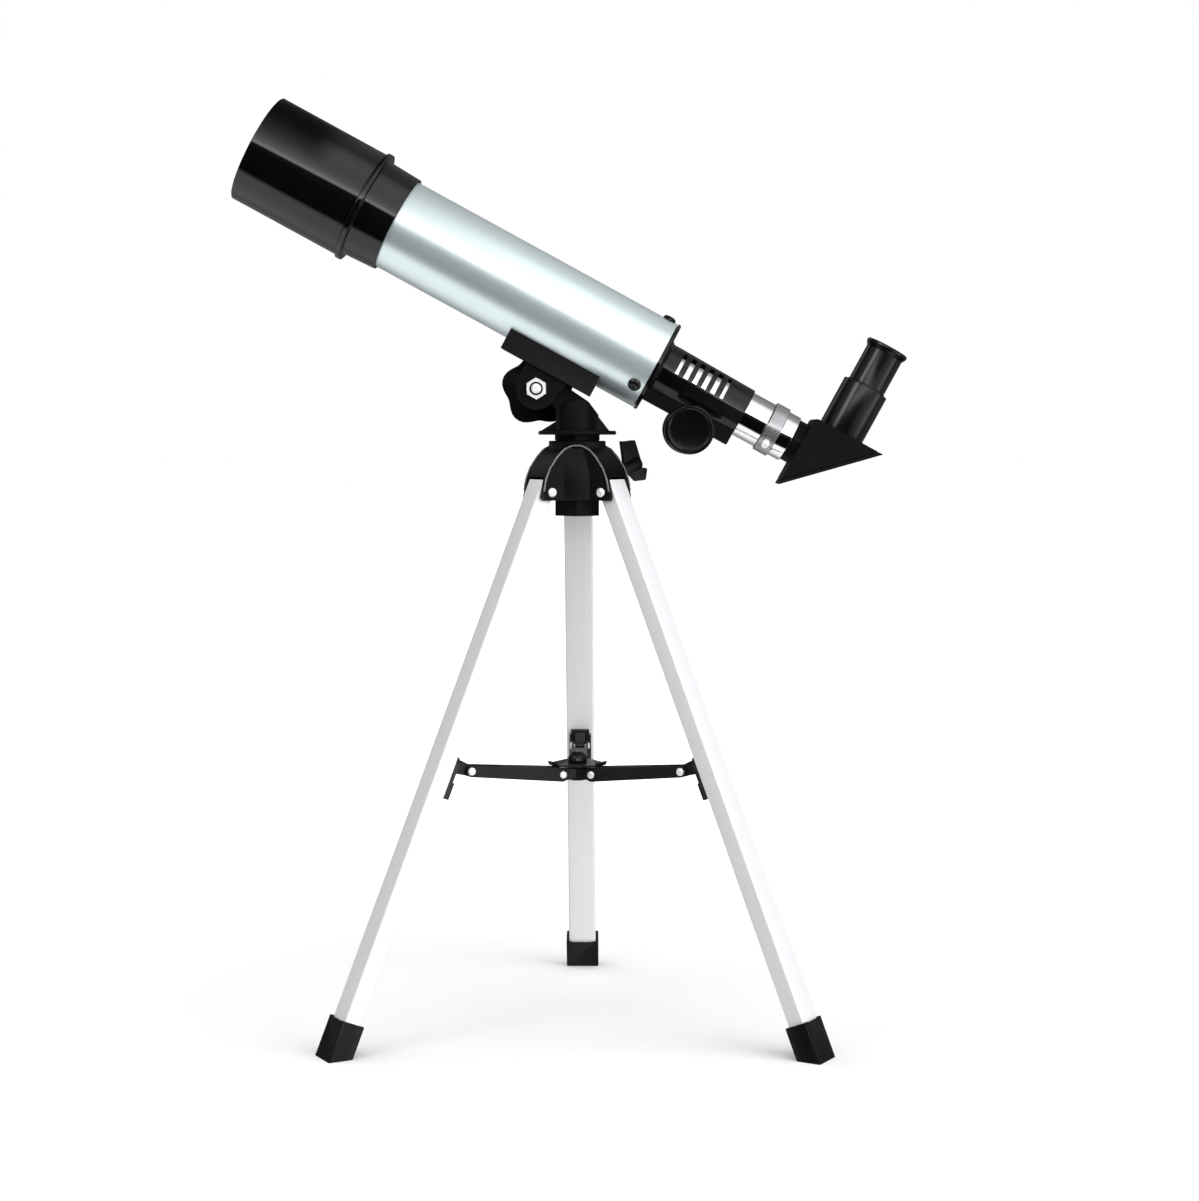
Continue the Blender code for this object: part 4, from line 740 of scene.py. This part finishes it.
def rounded_rectangle(low, high, radius, steps=6):
    """Points round a rectangle whose corners are arcs."""
    points = []
    for cx, cy, start in (
        (high[0] - radius, high[1] - radius, 0), (low[0] + radius, high[1] - radius, 90),
        (low[0] + radius, low[1] + radius, 180), (high[0] - radius, low[1] + radius, 270),
    ):
        for k in range(steps + 1):
            a = math.radians(start + 90 * k / steps)
            points.append((cx + radius * math.cos(a), cy + radius * math.sin(a)))
    return points


def leg(side):
    """A leg's rectangular tube, its foot cap and its spreader bracket."""
    place = leg_place(side)
    outer = rounded_rectangle((LEG_IN, -LEG_HALF_WIDTH), (LEG_OUT, LEG_HALF_WIDTH), radius=0.0013)
    wall = LEG_WALL
    inner = rounded_rectangle(
        (LEG_IN + wall, wall - LEG_HALF_WIDTH), (LEG_OUT - wall, LEG_HALF_WIDTH - wall), radius=0.0006
    )
    bm = bmesh.new()
    lift = 0.0002
    shrink = [(x * 0.985 + 0.00002, y * 0.988) for x, y in outer]  # the broken edge of the sawn ends
    rings = [[bm.verts.new((x, y, LEG_BOTTOM)) for x, y in shrink]]
    for i in range(LEG_STEPS + 1):
        z = LEG_BOTTOM + lift + (LEG_TOP - LEG_BOTTOM - 2 * lift) * i / LEG_STEPS
        rings.append([bm.verts.new((x, y, z)) for x, y in outer])
    rings.append([bm.verts.new((x, y, LEG_TOP)) for x, y in shrink])
    rings.append([bm.verts.new((x, y, LEG_TOP)) for x, y in inner])
    rings.append([bm.verts.new((x, y, LEG_BOTTOM)) for x, y in inner])
    for lower, upper in zip(rings, rings[1:] + rings[:1]):
        join(bm, lower, upper)
    settle(f"{side}_leg_tube", bm, place, ALUMINIUM, f"{side}_leg", [f"{side}_leg"], sharp=50)
    softened(f"{side}_foot_cap", RUBBER, place, width=0.0005, segments=3, angle=28, sharp=40, rim=FOOT_RIM)
    softened(f"{side}_spreader_bracket", BLACK_STEEL, place, width=0.0003, segments=2)


def hinge_screw(side):
    """The screw across the hub's housing that a leg turns on."""
    head_at, end = POST_HALF_WIDTH + 0.0001, POST_HALF_WIDTH + 0.0017
    profile = [(0, head_at + 0.0020), (0.0012, head_at + 0.0020), (0.0022, head_at + 0.0015)]
    profile += [(0.0027, head_at + 0.0008), (0.0027, head_at), (0.0015, head_at), (0.0015, -head_at)]
    profile += [(0.0024, -head_at), (0.0024, -head_at - 0.0010), (0.0012, -head_at - 0.0010)]
    profile += [(0.0012, -end), (0, -end)]
    turn = QUARTER if side == "right" else -QUARTER
    place = leg_place(side) @ matrix(rotation=(turn, 0, 0))
    obj = turned(
        f"{side}_leg_hinge_screw", profile, place, STEEL, "tripod_hub", [f"{side}_leg_bolt"], radius=0.0003,
        steps=48,
    )
    recess(obj, width=0.0008, length=0.0030, depth=0.0009, top=head_at + 0.0020)


def arm(side):
    """A spreader arm and the rivets at its two ends."""
    place = arm_place(side)
    softened(f"{side}_spreader_arm", BLACK_STEEL, place, width=0.0003, segments=2)
    for name, x, radius in (("inner", 0.0, 0.0023), ("outer", ARM_LENGTH, 0.0024)):
        half = ARM_HALF_WIDTH + 0.00005
        profile = [(0, half + 0.0013), (radius * 0.55, half + 0.0012), (radius * 0.9, half + 0.0008)]
        profile += [(radius, half + 0.0003), (radius, half), (0.0012, half), (0.0012, -half), (0.0019, -half)]
        profile += [(0.0019, -half - 0.0008), (0.0012, -half - 0.0011), (0, -half - 0.0011)]
        turn = QUARTER if side == "right" else -QUARTER
        pin = place @ matrix((x, 0, 0), (turn, 0, 0))
        made = turned(f"{side}_arm_{name}_rivet", profile, pin, STEEL, f"{side}_arm", (), radius=0.0002, steps=40)
        if name == "inner":
            recess(made, width=0.0006, length=0.0024, depth=0.0005, top=half + 0.0013)


def spreader():
    """The centre plate and its round knob."""
    softened("spreader_hub", BLACK_STEEL, YAWED, width=0.0003, segments=2)
    top = PLATE_TOP + 0.00005
    dome = [(0, top + 0.0069), (0.0018, top + 0.0067), (0.0035, top + 0.0059), (0.0048, top + 0.0045)]
    dome += [(0.0055, top + 0.0030), (0.0058, top + 0.0014), (0.0056, top), (0, top)]
    turned("spreader_knob_ball", dome, YAWED, MOULDED, "spreader_hub", ["spreader_knob"], radius=0.0004, steps=64)


def bracket_fixings(side):
    """The strap by which a bracket holds on to its leg, and its two blind rivets."""
    out, down = ARM_OUTER_R - LEG_HINGE_R, ARM_OUTER_Z - LEG_HINGE_Z
    pivot_z = -out * math.sin(LEG_TILT) + down * math.cos(LEG_TILT)
    face = LEG_IN - GAP
    bm = bmesh.new()
    for low, high in STRAP_BARS:
        for v in bmesh.ops.create_cube(bm, size=1.0)["verts"]:
            x, y = (high if c > 0 else low for c in (v.co.x, v.co.y))
            v.co = Vector((face + x[0], y[1], pivot_z + (STRAP_TOP if v.co.z > 0 else STRAP_BOTTOM)))
    settle(f"{side}_bracket_strap", bm, leg_place(side), BLACK_STEEL, f"{side}_leg")
    for name, y in (("low", -RIVET_SPREAD), ("high", RIVET_SPREAD)):
        place = leg_place(side) @ matrix((face - RIVET_DEPTH, y, pivot_z - RIVET_DROP), (0, -QUARTER, 0))
        profile = [(0, 0.0008), (0.0009, 0.0007), (0.0015, 0.0003), (0.0016, 0), (0, 0)]
        turned(f"{side}_bracket_rivet_{name}", profile, place, STEEL, f"{side}_leg", (), radius=0.0001, steps=24)


optical_tube()
objective()
focuser()
drawtube()
diagonal()
eyepiece()
altitude()
head()
for which in LEG_ANGLES:
    leg(which)
    hinge_screw(which)
    arm(which)
    bracket_fixings(which)
spreader()


# ---------------------------------------------------------------- studio

scene = bpy.context.scene
scene.view_settings.view_transform = "Standard"

# degrees round the tube's axis from the viewer towards the top, and the light's level there
STUDIO_BANDS = [
    (-180, 0.1), (-150, 0.3), (-132, 0.4), (-120, 0.8), (-106, 1.05), (-63, 1.2), (-54, 0.003), (7.6, 0.003),
    (10.6, 4.2), (18, 2.2), (26, 1.5), (38, 0.85), (52, 0.4), (68, 0.14), (82, 0.0), (110, 0.0), (180, 0.1),
]
# a shorter box above, that ends before the dew shield
STUDIO_TOP = [
    (-180, 0), (25, 0), (36, 0.35), (50, 0.8), (62, 1.1), (80, 0.95), (94, 0.35), (118, 0.25), (180, 0),
]
# degrees towards the eyepiece end, out of the plane across the tube
STUDIO_STRIPS = [
    (-90, 0.1), (-64, 0.2), (-56, 4.0), (-46, 6.0), (-40, 0.1), (14, 0.0), (22, 0.4), (56, 0.7), (64, 1.8),
    (74, 1.8), (82, 0.1), (90, 0.1),
]
# how far the boxes and the strips reach: degrees towards the eyepiece end, above the tube's axis, towards the viewer
BESIDE_TUBE = [(-90, 0), (-46, 0), (-28, 1), (28, 1), (46, 0), (90, 0)]
SHORT_OF_SHIELD = [(-90, 0), (-9.5, 0.05), (-6.5, 1), (28, 1), (46, 0), (90, 0)]
LEVEL_WITH_TUBE = [(-90, 0), (-6, 0), (0, 1), (13, 1), (19, 0), (90, 0)]
IN_FRONT = [(-90, 0.15), (-12, 0.15), (8, 1), (90, 1)]
AMBIENT = 0.3
BAND_SKEW = 0.2  # the lower edge of the main box isn't quite parallel to the tube
BRIGHTEST = 6  # the ramps hold levels as a share of this


def studio():
    """White surroundings for the camera. Reflections see soft boxes and strips laid out round the tube's axis."""
    world = bpy.data.worlds.new("studio")
    scene.world = world
    world.use_nodes = True
    tree = world.node_tree
    tree.nodes.clear()
    new, link = tree.nodes.new, tree.links.new
    where = new("ShaderNodeTexCoord")

    def dot(vector):
        node = new("ShaderNodeVectorMath")
        node.operation = "DOT_PRODUCT"
        node.inputs[1].default_value = vector
        link(where.outputs["Generated"], node.inputs[0])
        return node.outputs["Value"]

    def maths(operation, a, b=None):
        node = new("ShaderNodeMath")
        node.operation = operation
        for socket, value in zip(node.inputs, (a, b)):
            if value is None:
                continue
            if isinstance(value, (int, float)):
                socket.default_value = value
            else:
                link(value, socket)
        return node.outputs[0]

    up, along = (math.sin(TILT), 0, math.cos(TILT)), (math.cos(TILT), 0, -math.sin(TILT))
    near = (0, -1, 0)
    round_tube = maths("ARCTAN2", dot(up), dot(near))
    across, rise = maths("ARCSINE", dot(along)), maths("ARCSINE", dot(up))

    def curve(value, low, high, stops):
        """The level at an angle, on straight lines between stops of (degrees, level)."""
        spread = new("ShaderNodeMapRange")
        spread.inputs["From Min"].default_value = math.radians(low)
        spread.inputs["From Max"].default_value = math.radians(high)
        link(value, spread.inputs["Value"])
        ramp = new("ShaderNodeValToRGB")
        elements = ramp.color_ramp.elements
        while len(elements) > 1:
            elements.remove(elements[0])
        for i, (degrees, level) in enumerate(stops):
            position = (degrees - low) / (high - low)
            element = elements.new(position) if i else elements[0]
            element.position = position
            grey = level / BRIGHTEST
            element.color = (grey, grey, grey, 1)
        link(spread.outputs["Result"], ramp.inputs["Fac"])
        return maths("MULTIPLY", ramp.outputs["Color"], BRIGHTEST)

    skewed = maths("SUBTRACT", round_tube, maths("MULTIPLY", across, BAND_SKEW))
    bands = curve(skewed, -180, 180, STUDIO_BANDS)
    top = curve(round_tube, -180, 180, STUDIO_TOP)
    strips = curve(across, -90, 90, STUDIO_STRIPS)
    beside = curve(across, -90, 90, BESIDE_TUBE)
    short = curve(across, -90, 90, SHORT_OF_SHIELD)
    level_with = curve(rise, -90, 90, LEVEL_WITH_TUBE)
    front = curve(maths("ARCSINE", dot(near)), -90, 90, IN_FRONT)
    level = maths("ADD", maths("MULTIPLY", bands, beside), maths("MULTIPLY", top, short))
    around = maths("MULTIPLY", maths("SUBTRACT", 1.0, beside), AMBIENT)
    around = maths("ADD", around, maths("MULTIPLY", strips, level_with))
    level = maths("ADD", level, maths("MULTIPLY", around, front))
    studio_light = new("ShaderNodeBackground")
    studio_light.inputs["Color"].default_value = (1, 1, 1, 1)
    link(level, studio_light.inputs["Strength"])
    backdrop = new("ShaderNodeBackground")
    backdrop.inputs["Color"].default_value = (1, 1, 1, 1)
    backdrop.inputs["Strength"].default_value = 1.0
    path = new("ShaderNodeLightPath")
    mix = new("ShaderNodeMixShader")
    link(path.outputs["Is Camera Ray"], mix.inputs["Fac"])
    link(studio_light.outputs[0], mix.inputs[1])
    link(backdrop.outputs[0], mix.inputs[2])
    output = new("ShaderNodeOutputWorld")
    link(mix.outputs[0], output.inputs["Surface"])


studio()


# direction towards the light, its strength, and its width in degrees
SUNS = {
    "overhead": ((0.0, -0.05, 1.0), 1.3, 50),
    "right": ((1.0, -0.60, 0.30), 1.9, 60),
    "front": ((0.7, -0.7, -0.1), 1.5, 60),
    "left": ((-0.9, 0.3, 0.3), 1.2, 60),
    "low": ((0.1, -0.75, -0.65), 0.9, 60),
}


def sun(name, direction, strength, width):
    """Diffuse light from a wide soft source that gloss doesn't mirror."""
    lamp = bpy.data.lights.new(name, "SUN")
    lamp.energy, lamp.angle = strength, math.radians(width)
    obj = bpy.data.objects.new(name, lamp)
    scene.collection.objects.link(obj)
    obj.rotation_mode = "QUATERNION"
    obj.rotation_quaternion = Vector(direction).to_track_quat("Z", "Y")
    obj.visible_glossy = False


for sun_name, settings in SUNS.items():
    sun(sun_name, *settings)

FLOOR_RADIUS = 14.0
# the floor's painted glow: its emission against distance from the middle
FLOOR_GLOW = (("From Min", 0.22), ("From Max", 0.75), ("To Min", 0.09), ("To Max", 0.75))


def floor():
    """A pale round floor with a painted glow, dim near the middle and rising with distance until the floor is white.
    """
    bm = bmesh.new()
    bmesh.ops.create_circle(bm, cap_ends=True, segments=96, radius=FLOOR_RADIUS)
    mesh = bpy.data.meshes.new("floor")
    bm.to_mesh(mesh)
    bm.free()
    obj = bpy.data.objects.new("floor", mesh)
    scene.collection.objects.link(obj)
    material = finish(
        "pale_floor", (0.84, 0.84, 0.84), rough=0.7, metallic=0, mottle=0.004, mottle_scale=3, bump=0.02,
        bump_scale=80,
    )
    shader = material.node_tree.nodes["Principled BSDF"]
    shader.inputs["Emission Color"].default_value = (1, 1, 1, 1)
    nodes, link = material.node_tree.nodes, material.node_tree.links
    where = nodes.new("ShaderNodeTexCoord")
    away = nodes.new("ShaderNodeVectorMath")
    away.operation = "LENGTH"
    link.new(where.outputs["Object"], away.inputs[0])
    glow = nodes.new("ShaderNodeMapRange")
    glow.interpolation_type = "SMOOTHSTEP"
    for socket, value in FLOOR_GLOW:
        glow.inputs[socket].default_value = value
    link.new(away.outputs["Value"], glow.inputs["Value"])
    link.new(glow.outputs["Result"], shader.inputs["Emission Strength"])
    mesh.materials.append(material)
    obj.visible_glossy = False
    obj.visible_diffuse = False


floor()

# the photograph is 1199 pixels wide, and its focal length comes to 2333 pixels
PHOTO_WIDTH, FOCAL_PIXELS, SENSOR = 1199, 2333, 36
CAMERA_SIDE, CAMERA_BACK, CAMERA_HEIGHT, CAMERA_DOWN = 0.0133, 1.4, 0.359, 4.131

camera_data = bpy.data.cameras.new("camera")
camera_data.sensor_width = SENSOR
camera_data.lens = SENSOR * FOCAL_PIXELS / PHOTO_WIDTH
camera = bpy.data.objects.new("camera", camera_data)
scene.collection.objects.link(camera)
camera.location = (TRIPOD_X + CAMERA_SIDE, TRIPOD_Y - CAMERA_BACK, CAMERA_HEIGHT)
camera.rotation_euler = (math.radians(90 - CAMERA_DOWN), 0, 0)
scene.camera = camera
